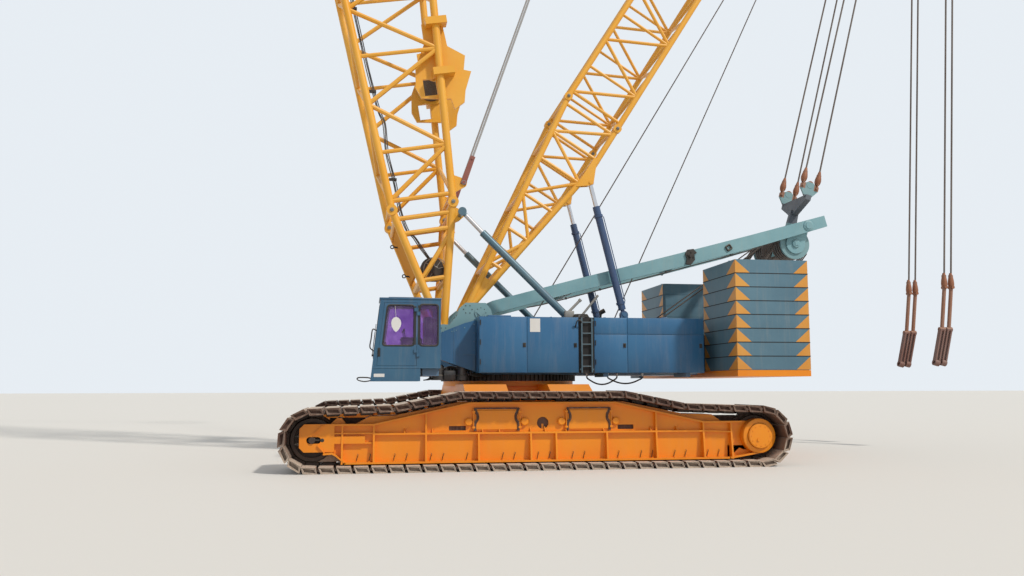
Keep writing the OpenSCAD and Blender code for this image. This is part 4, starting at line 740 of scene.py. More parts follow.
skins = bmesh.new()
reach = outer - FLANGE_REACH
bent_strip(skins, [(-4.36, 0.372), (-4.19, 0.385), (-4.12, 0.345), (-3.93, 0.190)], FLANGE_T,
           reach, outer + 0.03)
bent_strip(skins, [(3.93, 0.190), (4.06, 0.208), (4.62, 0.300), (4.70, 0.345)], FLANGE_T, reach, outer + 0.03)
plate(skins, [(3.94, 0.18), (4.06, 0.19), (4.60, 0.285), (4.45, 0.42), (3.94, 0.42)], outer, outer + 0.03)
for line in ([(-4.23, SHELF_Z + 0.015), (-3.40, SHELF_Z + 0.015)],
             [(3.40, SHELF_Z - 0.002), (4.05, SHELF_Z - 0.03)]):
    bent_strip(skins, line, 0.028, outer - 0.085, outer + 0.01)
bent_strip(skins, [(-3.57, 0.572), (-3.40, 0.572)], 0.026, outer - 0.07, outer + 0.01)
bent_strip(skins, [(-4.47, 0.535), (-4.33, 0.385)], 0.026, outer - 0.13, outer - 0.08)
bent_strip(skins, [(-4.55, 0.745), (-4.36, 0.922)], 0.026, outer - 0.13, outer - 0.08)
for x in (-2.80, -2.25, -1.25, -0.91, -0.27, 0.03, 0.46, 1.25, 2.25, 2.80):
    plate(skins, [(x - 0.01, SHELF_Z), (x + 0.10, SHELF_Z), (x + 0.10, SHELF_Z + 0.11)],
          outer - 0.012, outer + 0.005)
    gusset = [(outer - 0.095, SHELF_Z), (outer + 0.01, SHELF_Z), (outer + 0.01, SHELF_Z + 0.10)]
    pushed(skins, [(x, y, z) for y, z in gusset], (GUSSET_T, 0.0, 0.0))
both_sides(skins)
middle = GAUGE / 2
for side in (-1, 1):
    y0, y1 = side * middle - 0.30, side * middle + 0.30
    plate(skins, [(2.45, 1.13), (2.62, 1.16), (2.95, 1.085), (3.62, 1.065), (3.84, 0.92),
                  (2.45, 0.92)], y0, y1)
    plate(skins, [(-2.45, 1.13), (-2.62, 1.16), (-2.95, 1.085), (-3.48, 1.07), (-3.76, 0.92),
                  (-2.45, 0.92)], y0, y1)
    plate(skins, [(-4.02, 1.045), (-4.11, 1.045), (-4.24, 0.92), (-3.93, 0.92)], y0, y1)
close_piece(skins, "track_frame_skins", "undercarriage", orange_paint)

# %% [markdown]
# Behind the openings of a track frame lies shade: the slots, the round hole and the joint round each
# hatch look into a closed box. A dark plate behind each is painted shade that stands for it, as are the chain
# guides at the ends.

# %% Dark insides of the track frames
CHAIN_R = END_R - SHOE_DEPTH
inside = bmesh.new()
for x in (-1.74, 1.74):
    box(inside, (x - 0.20, outer + 0.045, 0.75), (x + 0.20, outer + 0.055, 0.90))
spun(inside, [(0.0, 0.0), (0.14, 0.0), (0.14, 0.01), (0.0, 0.01)], (0.0, outer + 0.055, 0.92), OUT, 24)
for hatch_x in (-0.95, 0.95):
    for side in (-1, 1):
        edge = hatch_x + side * 0.445
        joint = [(edge, 1.225), (edge - side * 0.02, 1.16), (edge - side * 0.055, 1.09),
                 (edge - side * 0.055, 1.0), (edge - side * 0.015, 0.93), (edge, 0.85),
                 (edge - side * 0.01, 0.775)]
        curve = smooth_line([(x, outer - 0.043, z) for x, z in joint], 4)
        for a, b in zip(curve, curve[1:]):
            rod(inside, a, b + (b - a) * 0.2, 0.028, 6)
    box(inside, (hatch_x - 0.45, outer - 0.05, 1.205), (hatch_x + 0.45, outer - 0.02, 1.232))
both_sides(inside)
for side in (-1, 1):
    y0, y1 = side * middle - 0.29, side * middle + 0.29
    plate(inside, [(-4.46, 0.20), (-4.44, 0.215), (-4.35, 0.257), (-4.25, 0.345), (-4.20, 0.40), (-3.90, 0.40),
                   (-3.90, 0.20)], y0, y1)
    plate(inside, [(4.46, 0.20), (4.44, 0.215), (4.38, 0.27), (4.30, 0.40), (3.90, 0.40), (3.90, 0.20)], y0, y1)
    for end in (-1, 1):
        spun(inside, [(0.0, -0.08), (CHAIN_R, -0.08), (CHAIN_R, 0.08), (0.0, 0.08)],
             (end * END_X, side * middle, END_R), OUT, 40)
        x0, x1 = sorted((end * 4.26, end * 3.42))
        box(inside, (x0, side * middle - 0.02, 0.92), (x1, side * middle + 0.02, 1.04))
close_piece(inside, "track_frame_insides", "undercarriage", pocket_rust_and_shade)

# %% Lock tabs, grease lines and the tensioner's nuts
irons = bmesh.new()
for x in roller_bolt_xs:
    hook_line = [(x, outer - 0.012, 0.205), (x + 0.012, outer - 0.02, 0.27),
                 (x + 0.030, outer - 0.022, 0.325), (x + 0.018, outer - 0.02, 0.345)]
    tube(irons, smooth_line(hook_line, 3), 0.006, 6)
for z in (0.54, 0.70):
    rod(irons, (-4.86, outer - 0.06, z), (-4.82, outer - 0.06, z), 0.035, 6)
    rod(irons, (-4.90, outer - 0.06, z), (-4.82, outer - 0.06, z), 0.020, 12)
for x in (-4.56, -4.38):
    spun(irons, [(0.0, 0.0), (0.052, 0.0), (0.052, 0.03), (0.03, 0.045), (0.0, 0.045)],
         (x, outer - 0.05, END_R), OUT, 16)
rod(irons, (-4.62, outer - 0.055, END_R), (-4.33, outer - 0.055, END_R), 0.018, 8)
both_sides(irons)
close_piece(irons, "track_frame_irons", "undercarriage", dark_iron)

# %% [markdown]
# ## The machinery houses
# The house wall is a row of sheet doors with rounded folds and a dark joint between them. Each door is
# a thin box, a little proud of the CAD wall, with its edges bevelled. The joint is the space between two.

# %% House doors
HOUSE_Y = 2.3
SKIN = 0.014
JOINT = 0.008
house_low, house_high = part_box("house_left")


def sheet_door(bm, x0, x1, z0, z1, side):
    y = side * HOUSE_Y
    box(bm, (x0 + JOINT, min(y, y + side * SKIN), z0 + JOINT), (x1 - JOINT, max(y, y + side * SKIN), z1 - JOINT),
        0.006, 2)


doors = bmesh.new()
floor_z, roof_z = house_low.z, house_high.z
for x0, x1 in ((house_low.x, 0.08), (0.08, 1.30)):
    sheet_door(doors, x0, x1, floor_z, roof_z, -1)
for x0, x1 in ((1.67, 2.47), (2.47, house_high.x)):
    sheet_door(doors, x0, x1, floor_z, 2.86, -1)
    sheet_door(doors, x0, x1, 2.86, roof_z, -1)
for x0, x1 in ((house_low.x, 0.25), (0.25, 1.55), (1.55, 2.95), (2.95, house_high.x)):
    sheet_door(doors, x0, x1, floor_z, roof_z, 1)
close_piece(doors, "house_doors", "upperworks", house_paint)

# A black sheet on the wall behind the ladder is painted shade, for the dark opening that the ladder stands in.
behind_ladder = bmesh.new()
box(behind_ladder, (1.30, -HOUSE_Y - 0.003, floor_z), (1.67, -HOUSE_Y + 0.001, roof_z))
close_piece(behind_ladder, "ladder_opening_shade", "upperworks", deep_shadow)

# %% [markdown]
# The machine side of a house breathes through slatted grilles. A slat is a thin bent sheet; here it is a
# narrow box turned by a few degrees and repeated. The grilles sit on the right-hand side and at the rear
# end of both houses.

# %% Grilles
grilles = bmesh.new()
for x0, x1 in ((1.75, 2.75), (3.1, 4.15)):
    for i in range(14):
        z = 2.25 + 0.05 * i
        slat = box(grilles, (x0, HOUSE_Y + SKIN, z), (x1, HOUSE_Y + SKIN + 0.006, z + 0.042))
        bmesh.ops.rotate(grilles, cent=((x0 + x1) / 2, HOUSE_Y + SKIN, z), verts=slat,
                         matrix=Matrix.Rotation(math.radians(-22.0), 3, "X"))
for y in (-1.85, 1.85):
    for i in range(16):
        z = 2.15 + 0.05 * i
        slat = box(grilles, (house_high.x, y - 0.32, z), (house_high.x + 0.006, y + 0.32, z + 0.042))
        bmesh.ops.rotate(grilles, cent=(house_high.x, y, z), verts=slat,
                         matrix=Matrix.Rotation(math.radians(22.0), 3, "Y"))
close_piece(grilles, "house_grilles", "upperworks", house_paint)

# %% Door handles, hinges and the blank plate
handles = bmesh.new()
HANDLE_Z = 2.55
for x in (0.02, 1.22, 2.40, 4.27):
    box(handles, (x - 0.035, -HOUSE_Y - SKIN - 0.012, HANDLE_Z),
        (x + 0.035, -HOUSE_Y - SKIN, HANDLE_Z + 0.10), 0.004, 1)
    rod(handles, (x, -HOUSE_Y - SKIN - 0.03, HANDLE_Z + 0.02),
        (x, -HOUSE_Y - SKIN - 0.03, HANDLE_Z + 0.08), 0.008, 8)
for x in (0.30, 1.60, 3.0):
    box(handles, (x - 0.035, HOUSE_Y + SKIN, 2.5), (x + 0.035, HOUSE_Y + SKIN + 0.012, 2.6), 0.004, 1)
for x, side in ((house_low.x + 0.03, -1), (1.70, -1), (house_low.x + 0.03, 1), (4.30, 1)):
    for z in (2.15, 2.6, 3.05):
        y = side * (HOUSE_Y + SKIN + 0.008)
        rod(handles, (x, y, z), (x, y, z + 0.12), 0.012, 8)
grab = [(1.36, -2.40, 3.12), (1.30, -2.42, 3.17), (1.24, -2.41, 3.15), (1.22, -2.36, 3.05),
        (1.22, -2.315, 3.02)]
tube(handles, smooth_line(grab, 5), 0.014, 8)
close_piece(handles, "house_handles", "upperworks", dark_iron)

blank = bmesh.new()
box(blank, (0.15, -HOUSE_Y - SKIN - 0.004, 2.90), (0.39, -HOUSE_Y - SKIN, 3.21), 0.0015, 1)
box(blank, (-3.40, -3.004, 1.86), (-3.17, -2.999, 1.93), 0.0015, 1)
close_piece(blank, "blank_plates", "upperworks", blank_white)

# %% [markdown]
# ## On the roofs
# The roofs are walked on. Each carries folded stiffeners, a hatch cover and the lid of a filler. On the
# right-hand one the bent exhaust pipe of the engine stands on its base plate.

# %% Roof details
roof = bmesh.new()
for side in (-1, 1):
    for x in (-0.5, 0.08, 0.66, 1.95, 3.2, 3.8):
        y0, y1 = sorted((side * 1.46, side * 2.26))
        box(roof, (x - 0.02, y0, roof_z), (x + 0.02, y1, roof_z + 0.012), 0.004, 1)
    spun(roof, [(0.0, 0.0), (0.09, 0.0), (0.09, 0.03), (0.075, 0.045), (0.0, 0.045)],
         (3.5, side * 1.95, roof_z), (0, 0, 1), 24)
    box(roof, (-0.8, side * 1.86 - 0.22, roof_z), (-0.25, side * 1.86 + 0.22, roof_z + 0.05), 0.012, 2)
close_piece(roof, "roof_details", "upperworks", house_paint)

exhaust = bmesh.new()
pipe = [(2.9, 1.85, roof_z - 0.02), (2.9, 1.85, roof_z + 0.35), (2.93, 1.85, roof_z + 0.45),
        (3.05, 1.85, roof_z + 0.52)]
tube(exhaust, smooth_line(pipe, 6), 0.065, 20)
spun(exhaust, [(0.0, 0.0), (0.15, 0.0), (0.15, 0.02), (0.10, 0.05), (0.0, 0.05)],
     (2.9, 1.85, roof_z), (0, 0, 1), 24)
close_piece(exhaust, "exhaust", "upperworks", dark_iron)

# %% [markdown]
# ## The counterweight's marks
# Each slab has an orange triangle at both ends of its side face, and at both ends of its front face.
# Painted edges that a passer-by can see are a safety mark. A triangle here is a thin plate with the
# slab's own height, a millimetre or two proud of the concrete.

# %% Triangles on the slabs
BASE_TOP = 2.01
SLAB_STEP = 0.314
SLAB_H = 0.306
PAINT = 0.002
FRONT_REACH = 0.50
SIDE_REACH = 0.345
SLAB_FACE = -3.5

marks = bmesh.new()
for i in range(8):
    z0 = BASE_TOP + i * SLAB_STEP + 0.008
    z1 = z0 + SLAB_H - 0.004
    low = z0 + 0.004
    plate(marks, [(4.672, low), (4.672 + SIDE_REACH, low), (4.672, z1)], SLAB_FACE - PAINT, SLAB_FACE)
    plate(marks, [(6.428, low), (6.428, z1), (6.428 - SIDE_REACH, low)], SLAB_FACE - PAINT, SLAB_FACE)
    for y, step in ((-3.498, FRONT_REACH), (-1.542, -SIDE_REACH)):
        pushed(marks, ((4.67, y, low), (4.67, y + step, low), (4.67, y, z1)), (-PAINT, 0.0, 0.0))
both_sides(marks)
close_piece(marks, "slab_marks", "upperworks", sill_paint)

# Dark strips along the joints of the slabs are painted shadow, for the gap between one slab and the next.
shadows = bmesh.new()
for i in range(1, 8):
    z = BASE_TOP + i * SLAB_STEP
    box(shadows, (4.665, -3.5045, z - 0.008), (6.435, -3.49, z + 0.010))
    box(shadows, (4.6655, -3.5045, z - 0.008), (4.68, -1.537, z + 0.010))
both_sides(shadows)
close_piece(shadows, "slab_joint_shadows", "upperworks", deep_shadow)

# %% [markdown]
# ## Where the parts of the crane's arms lie
# The boom, the mast and the A-frame lean, so it is easier to place a bolt or a pin in their own frames:
# x across the arm, z along it. Each of these turns such a place into the crane's X and Z, and the mast's
# stays get the same, from the A-frame's head to the mast's tip.

# %% Places on the leaning arms
BOOM_PIN, BOOM_LEAN = (-1.77, 2.94), math.radians(9.5)
MAST_PIN, MAST_ANGLE = (-1.19, 3.48), math.radians(57.8)
FRAME_PIN, FRAME_ANGLE = (-0.88, 3.40), math.radians(15.2)
MAST_LEN = 27.2
GIRDER_Y = 1.25
HEAD_PIN, SHEAVE_PIN = (8.99, 0.055), (8.6, -0.31)
ROPE_LUG = (1.075, 3.52)


def on_boom(x, z, y=0.0):
    c, s = math.cos(BOOM_LEAN), math.sin(BOOM_LEAN)
    return Vector((BOOM_PIN[0] + c * x - s * z, y, BOOM_PIN[1] + s * x + c * z))


def on_mast(x, z, y=0.0):
    c, s = math.cos(MAST_ANGLE), math.sin(MAST_ANGLE)
    return Vector((MAST_PIN[0] + s * x + c * z, y, MAST_PIN[1] - c * x + s * z))


def on_a_frame(x, z, y=0.0):
    c, s = math.cos(FRAME_ANGLE), math.sin(FRAME_ANGLE)
    return Vector((FRAME_PIN[0] + c * x - s * z, y, FRAME_PIN[1] + s * x + c * z))


frame_head = on_a_frame(*HEAD_PIN)
mast_tip = on_mast(0.0, MAST_LEN)
stay_dir = (mast_tip - frame_head).normalized()
stay_across = Vector((stay_dir.z, 0.0, -stay_dir.x))


def on_stay(x, z, y=0.0):
    return frame_head + stay_across * x + stay_dir * z + Vector((0.0, y, 0.0))


print("mast tip", [round(v, 2) for v in mast_tip], "A-frame head", [round(v, 2) for v in frame_head])

# %% [markdown]
# ## Two finishes on one node
# Some nodes are painted twice, or are part paint and part rope: the pale cheeks of the upper frame, the
# equalizer beam under its pale links, blue darkened with painted shade, the rusty sockets below the stays'
# ropes. A mask made from the Object coordinates divides them, at the place where the real finish changes.

# %% Masks from distances
def along_line(tree, position, origin, direction):
    """The distance of a point from origin, measured along direction."""
    shift = tree.nodes.new("ShaderNodeVectorMath")
    shift.operation = "SUBTRACT"
    shift.inputs[1].default_value = origin
    tree.links.new(position, shift.inputs[0])
    dot = tree.nodes.new("ShaderNodeVectorMath")
    dot.operation = "DOT_PRODUCT"
    dot.inputs[1].default_value = direction
    tree.links.new(shift.outputs["Vector"], dot.inputs[0])
    return dot.outputs["Value"]


def beyond(tree, value, edge):
    return remap(tree, value, edge - 0.004, edge + 0.004)


def zoned(name, zones, dust_amount=0.35, rust_amount=0.4, roughness=0.5, metallic=0.0, bump=0.002):
    """Zones are (paint, mask maker) pairs; each next one covers the ones before where its mask is 1."""
    material = weathered(name, zones[0][0], zones[0][0], dust_amount, rust_amount, roughness, metallic, bump=bump)
    tree = material.node_tree
    wear = next(node for node in tree.nodes if node.type == "GROUP")
    coords = next(node for node in tree.nodes if node.type == "TEX_COORD")
    paint = zones[0][0]
    for color, mask in zones[1:]:
        paint = mix_color(tree, mask(tree, coords.outputs["Object"]), paint, color)
    paler = mix_color(tree, 0.16, paint, (0.55, 0.52, 0.48))
    tree.links.new(paint, wear.inputs["Paint"])
    tree.links.new(paler, wear.inputs["Faded Paint"])
    return material


# %% Upper frame, stays and pendants
# SHADED_SLATE is the equalizer beam's blue, dark with painted shade.
SHADED_SLATE = (0.055, 0.075, 0.105)
PALE = (0.17, 0.33, 0.36)
RUST = (0.27, 0.105, 0.05)
ROPE = (0.10, 0.072, 0.058)
DARK_RUST = (0.15, 0.05, 0.03)


def cheek(tree, position):
    high = beyond(tree, along_line(tree, position, (0.0, 0.0, 0.0), (0.0, 0.0, 1.0)), 2.92)
    ahead = beyond(tree, along_line(tree, position, (0.0, 0.0, 0.0), (-1.0, 0.0, 0.0)), 0.42)
    return maths(tree, "MULTIPLY", high, ahead)


def up_the_stay(tree, position):
    return along_line(tree, position, frame_head, stay_dir)


def stay_links(tree, position):
    return beyond(tree, up_the_stay(tree, position), 0.935)


def stay_shackle(tree, position):
    return maths(tree, "SUBTRACT", 1.0, beyond(tree, up_the_stay(tree, position), 0.24))


def stay_sockets(tree, position):
    side = maths(tree, "ABSOLUTE", along_line(tree, position, frame_head, stay_across), 0.0)
    outside = beyond(tree, side, 0.125)
    up = up_the_stay(tree, position)
    low_sockets = maths(tree, "MULTIPLY", outside, beyond(tree, up, 1.10))
    return maths(tree, "MAXIMUM", low_sockets, beyond(tree, up, 1.30))


def stay_ropes(tree, position):
    return beyond(tree, up_the_stay(tree, position), 1.57)


def pendant_ropes(tree, position):
    return beyond(tree, along_line(tree, position, (0.0, 0.0, 4.61), (0.0, 0.0, 1.0)), 0.0)


def pendant_lower(tree, position):
    return beyond(tree, along_line(tree, position, (0.0, 0.0, 3.16), (0.0, 0.0, -1.0)), 0.0)


frame_paint = zoned("upper_frame_paint", [((0.026, 0.12, 0.24), None), (PALE, cheek)], 0.35, 0.15, 0.4)
stay_finish = zoned("mast_stay_finish", [(SHADED_SLATE, None), (PALE, stay_shackle), (PALE, stay_links),
                                         (RUST, stay_sockets), (ROPE, stay_ropes)], 0.2, 0.5, 0.55)
pendant_finish = zoned("pendant_finish", [(RUST, None), (DARK_RUST, pendant_lower), (ROPE, pendant_ropes)],
                       0.15, 0.7, 0.6)
for name, finish in (("upper_frame", frame_paint), ("mast_stays", stay_finish),
                     ("hanging_pendants", pendant_finish)):
    nodes[name].data.materials[0] = finish

# %% [markdown]
# The A-frame's outer sheave cheeks are painted, while the sheaves between them are brown with old grease.
# A backstop is a painted barrel with a bright rod and a painted clevis on its end.

# %% Sheaves and backstops
STOP_ROD, STOP_PIN = (-0.89, 0.0, 5.29), (-1.37, 0.0, 5.78)


def outer_cheeks(tree, position):
    across = along_line(tree, position, (0.0, 0.0, 0.0), (0.0, 1.0, 0.0))
    return beyond(tree, maths(tree, "ABSOLUTE", across, 0.0), 0.772)


stop_axis = tuple((Vector(STOP_PIN) - Vector(STOP_ROD)).normalized())


def stop_rod(tree, position):
    return beyond(tree, along_line(tree, position, STOP_ROD, stop_axis), 0.006)


def stop_clevis(tree, position):
    return beyond(tree, along_line(tree, position, STOP_PIN, stop_axis), -0.13)


sheave_finish = zoned("a_frame_sheave_finish", [((0.075, 0.048, 0.038), None), (PALE, outer_cheeks)],
                      0.3, 0.4, 0.5)
backstop_finish = zoned("backstop_finish", [((0.07, 0.15, 0.20), None), ((0.55, 0.55, 0.57), stop_rod),
                                            ((0.09, 0.16, 0.20), stop_clevis)], 0.25, 0.2, 0.3, 0.4)
nodes["a_frame_sheaves"].data.materials[0] = sheave_finish
nodes["boom_backstops"].data.materials[0] = backstop_finish

# %% [markdown]
# The two grey ropes that hold the boom are galvanized, so they are pale where the others are dark with
# grease. The lug links at their lower end have gone red with rust.

# %% Boom stays
def lug_links(tree, position):
    low = tuple(on_boom(*ROPE_LUG))
    up = tuple((Vector((6.56, 0.0, 29.3)) - Vector(low)).normalized())
    return maths(tree, "SUBTRACT", 1.0, beyond(tree, along_line(tree, position, low, up), 0.72))


stay_grey = zoned("grey_stay_rope", [((0.34, 0.33, 0.32), None), ((0.24, 0.055, 0.035), lug_links)],
                  0.15, 0.3, 0.5, 0.3)
nodes["boom_stays"].data.materials[0] = stay_grey
print("zoned finishes:", [m.name for m in (frame_paint, stay_finish, pendant_finish, stay_grey)])

# %% [markdown]
# ## Windows and fittings of the cab
# A pane sits in a black rubber seal with round corners, which shows as a dark frame round the window.
# The seal is a ring of four loops: the outer edge on the wall, two on its face, and the inner edge
# against the glass. It hides the sharp corners of the opening, as the real rubber does.

# %% Rounded window seals
CAB_FACE = -3.0
CAB_INNER = -1.93


def rounded_loop(corners, inset, radius, steps=5):
    """Corners of a window, moved inwards by inset and rounded off."""
    moved = []
    for before, here, after in zip(corners[-1:] + corners[:-1], corners, corners[1:] + corners[:1]):
        moved.append(here + ((before - here).normalized() + (after - here).normalized()) * inset)
    line = []
    for before, here, after in zip(moved[-1:] + moved[:-1], moved, moved[1:] + moved[:1]):
        a = here + (before - here).normalized() * radius
        b = here + (after - here).normalized() * radius
        for i in range(steps + 1):
            t = i / steps
            line.append(a * (1 - t) ** 2 + here * 2 * t * (1 - t) + b * t * t)
    return line


def seal(bm, corners, out):
    corners, out = [Vector(c) for c in corners], Vector(out)
    loops = [(-0.020, 0.085, 0.0), (-0.015, 0.085, 0.009), (0.008, 0.070, 0.011), (0.016, 0.065, -0.013)]
    rings = [[bm.verts.new(p + out * lift) for p in rounded_loop(corners, inset, radius)]
             for inset, radius, lift in loops]
    for low, high in zip(rings, rings[1:] + rings[:1]):
        for i, vert in enumerate(low):
            j = (i + 1) % len(low)
            bm.faces.new((vert, low[j], high[j], high[i]))


def front_x(z):
    """X of the cab's sloping front at a height."""
    return -3.47 + 0.2 * (z - 1.77) / 1.79


def upright(x0_low, x0_high, x1, z0, z1, y):
    return [(x0_low, y, z0), (x1, y, z0), (x1, y, z1), (x0_high, y, z1)]


PANE_LOW, PANE_HIGH = 2.54, 3.44
door_seal = bmesh.new()
door_front = 0.166
seal(door_seal, upright(front_x(PANE_LOW) + door_front, front_x(3.42) + door_front, -2.546,
                        PANE_LOW, 3.42, CAB_FACE), (0, -1, 0))
box(door_seal, (-2.534, CAB_FACE - 0.004, PANE_LOW + 0.02), (-2.502, CAB_FACE, 3.40), 0.001, 1)
close_piece(door_seal, "door_seal", "door", rubber)

cab_seals = bmesh.new()
seal(cab_seals, upright(-2.42, -2.42, -2.02, PANE_LOW, PANE_HIGH, CAB_FACE), (0, -1, 0))
seal(cab_seals, upright(front_x(PANE_LOW) + 0.22, front_x(PANE_HIGH) + 0.22, -2.05,
                        PANE_LOW, PANE_HIGH, CAB_INNER), (0, 1, 0))
seal(cab_seals, [(-1.96, -2.87, PANE_LOW), (-1.96, -2.06, PANE_LOW), (-1.96, -2.06, PANE_HIGH),
                 (-1.96, -2.87, PANE_HIGH)], (1, 0, 0))
seal(cab_seals, [(front_x(2.30), -2.91, 2.30), (front_x(2.30), -2.02, 2.30),
                 (front_x(PANE_HIGH), -2.02, PANE_HIGH), (front_x(PANE_HIGH), -2.91, PANE_HIGH)], (-1, 0, 0))
box(cab_seals, (-2.462, CAB_FACE - 0.004, PANE_LOW + 0.02), (-2.436, CAB_FACE, PANE_HIGH - 0.02), 0.001, 1)
close_piece(cab_seals, "cab_seals", "upperworks", rubber)

# %% [markdown]
# The roof has a proud sheet rim. A black rail stands at the front corner, the wiper lies across the front
# pane, a step hangs below the sill, and a small handle sits at the door's front edge.

# %% Cab roof, rails, wiper and step
cab_trim = bmesh.new()
box(cab_trim, (front_x(3.56) - 0.03, CAB_FACE - 0.018, 3.548), (-1.945, CAB_INNER + 0.018, 3.585), 0.010, 2)
box(cab_trim, (-3.10, -2.80, 3.585), (-2.35, -2.15, 3.62), 0.014, 2)
plate(cab_trim, [(front_x(2.1) + 0.045, 2.1), (front_x(2.1) + 0.065, 2.1), (front_x(3.5) + 0.065, 3.5),
                 (front_x(3.5) + 0.045, 3.5)], CAB_FACE - 0.005, CAB_FACE)
box(cab_trim, (-3.44, CAB_FACE - 0.007, 2.045), (-1.965, CAB_FACE, 2.062), 0.003, 1)
close_piece(cab_trim, "cab_trim", "upperworks", cab_paint)

cab_rails = bmesh.new()
front_rail = [(front_x(2.87) - 0.01, -2.96, 2.87), (front_x(2.87) - 0.09, -3.03, 2.88),
              (front_x(2.7) - 0.10, -3.04, 2.68), (front_x(2.5) - 0.10, -3.04, 2.50),
              (front_x(2.4) - 0.01, -2.96, 2.42)]
tube(cab_rails, smooth_line(front_rail, 6), 0.014, 8)
wiper_low = Vector((front_x(2.34) - 0.03, -2.50, 2.34))
wiper_high = Vector((front_x(3.0) - 0.03, -2.74, 3.02))
rod(cab_rails, wiper_low, wiper_low.lerp(wiper_high, 0.75), 0.009, 8)
rod(cab_rails, wiper_low.lerp(wiper_high, 0.45), wiper_high, 0.006, 6)
rod(cab_rails, wiper_low + Vector((0.04, 0, 0)), wiper_low + Vector((-0.012, 0, 0)), 0.022, 12)
for y in (-2.95, -2.45):
    step = [(-3.42, y, 1.80), (-3.50, y, 1.845), (-3.72, y, 1.85), (-3.74, y, 1.80), (-3.60, y, 1.765),
            (-3.43, y, 1.79)]
    tube(cab_rails, smooth_line(step, 4), 0.012, 8)
for x in (-3.52, -3.60, -3.68):
    rod(cab_rails, (x, -2.95, 1.85), (x, -2.45, 1.85), 0.010, 8)
close_piece(cab_rails, "cab_rails", "upperworks", rubber)

# %% Door handle
handle = bmesh.new()
rod(handle, (-3.30, CAB_FACE - 0.030, 2.33), (-3.29, CAB_FACE - 0.030, 2.46), 0.012, 10)
for z in (2.35, 2.44):
    rod(handle, (-3.297, CAB_FACE - 0.030, z), (-3.297, CAB_FACE, z), 0.009, 8)
box(handle, (-3.325, CAB_FACE - 0.008, 2.30), (-3.265, CAB_FACE, 2.49), 0.003, 1)
close_piece(handle, "door_handle", "door", rubber)

# %% [markdown]
# ## Inside the cab
# Through the violet film one sees the seat, with its cushion and back, the two consoles with levers, and
# a pale hand fan that hangs on the pane. Each cushion is a box with generous rounding, crowned in the
# middle, with a piped seam round its edge.

# %% Seat cushions
SEAT_Y = (CAB_FACE + CAB_INNER) / 2


def cushion(name, low, high, thick_axis, bulge):
    bm = bmesh.new()
    low, high = Vector(low), Vector(high)
    box(bm, low, high, 0.035, 4)
    long_faces = [f for f in bm.faces if abs(f.normal[thick_axis]) > 0.9 and f.calc_area() > 0.05]
    bmesh.ops.inset_region(bm, faces=long_faces, thickness=0.05, use_even_offset=True)
    bmesh.ops.subdivide_edges(bm, edges=list({e for f in long_faces for e in f.edges}), cuts=5, use_grid_fill=True)
    middle = (low + high) / 2
    for vert in bm.verts:
        share = 1.0
        for axis in range(3):
            if axis != thick_axis:
                across = 2 * (vert.co[axis] - middle[axis]) / (high[axis] - low[axis])
                share *= max(0.0, 1.0 - across * across)
        side = 1.0 if vert.co[thick_axis] > middle[thick_axis] else -1.0
        vert.co[thick_axis] += side * bulge * share
    piece = close_piece(bm, name, "upperworks", seat_fabric, 60.0)


cushion("seat_cushion", (-2.79, SEAT_Y - 0.26, 2.50), (-2.23, SEAT_Y + 0.26, 2.60), 2, 0.02)
cushion("seat_back", (-2.30, SEAT_Y - 0.25, 2.62), (-2.14, SEAT_Y + 0.25, 3.20), 0, 0.02)

# %% Piping, levers and the hanging fan
piping = bmesh.new()
SEAM_Z, SEAM_HALF = 2.605, 0.25
seam_corners = [Vector((x, SEAT_Y + side * SEAM_HALF, SEAM_Z)) for x, side in
                ((-2.78, -1), (-2.24, -1), (-2.24, 1), (-2.78, 1))]
tube(piping, rounded_loop(seam_corners, 0.0, 0.05), 0.007, 6)
box(piping, (-2.33, SEAT_Y - 0.235, 2.75), (-2.305, SEAT_Y - 0.10, 3.05), 0.008, 2)
close_piece(piping, "seat_piping", "upperworks", red_trim)

controls = bmesh.new()
for side in (-1, 1):
    y = SEAT_Y + side * 0.33
    box(controls, (-2.82, y - 0.065, 2.69), (-2.38, y + 0.065, 2.73), 0.012, 2)
    rod(controls, (-2.72, y, 2.72), (-2.75, y, 2.86), 0.010, 8)
    spun(controls, [(0.0, -0.03), (0.018, -0.026), (0.028, 0.0), (0.022, 0.03), (0.0, 0.04)], (-2.753, y, 2.885),
         (0, 0, 1), 16)
box(controls, (-3.22, -2.80, 2.36), (-3.13, -2.60, 2.62), 0.015, 2)
close_piece(controls, "cab_controls", "upperworks", rubber)

FAN_Y = CAB_FACE + 0.009
fan = bmesh.new()
leaf = [(0.0, -0.165), (0.05, -0.12), (0.095, -0.05), (0.112, 0.03), (0.095, 0.10), (0.05, 0.15), (0.0, 0.165),
        (-0.05, 0.15), (-0.092, 0.10), (-0.105, 0.03), (-0.09, -0.05), (-0.05, -0.12)]
plate(fan, [(-2.935 + x, 2.996 + z) for x, z in leaf], FAN_Y - 0.003, FAN_Y + 0.003)
rod(fan, (-2.935, FAN_Y, 3.14), (-2.960, FAN_Y, 3.41), 0.004, 8)
close_piece(fan, "hand_fan", "door", blank_white)
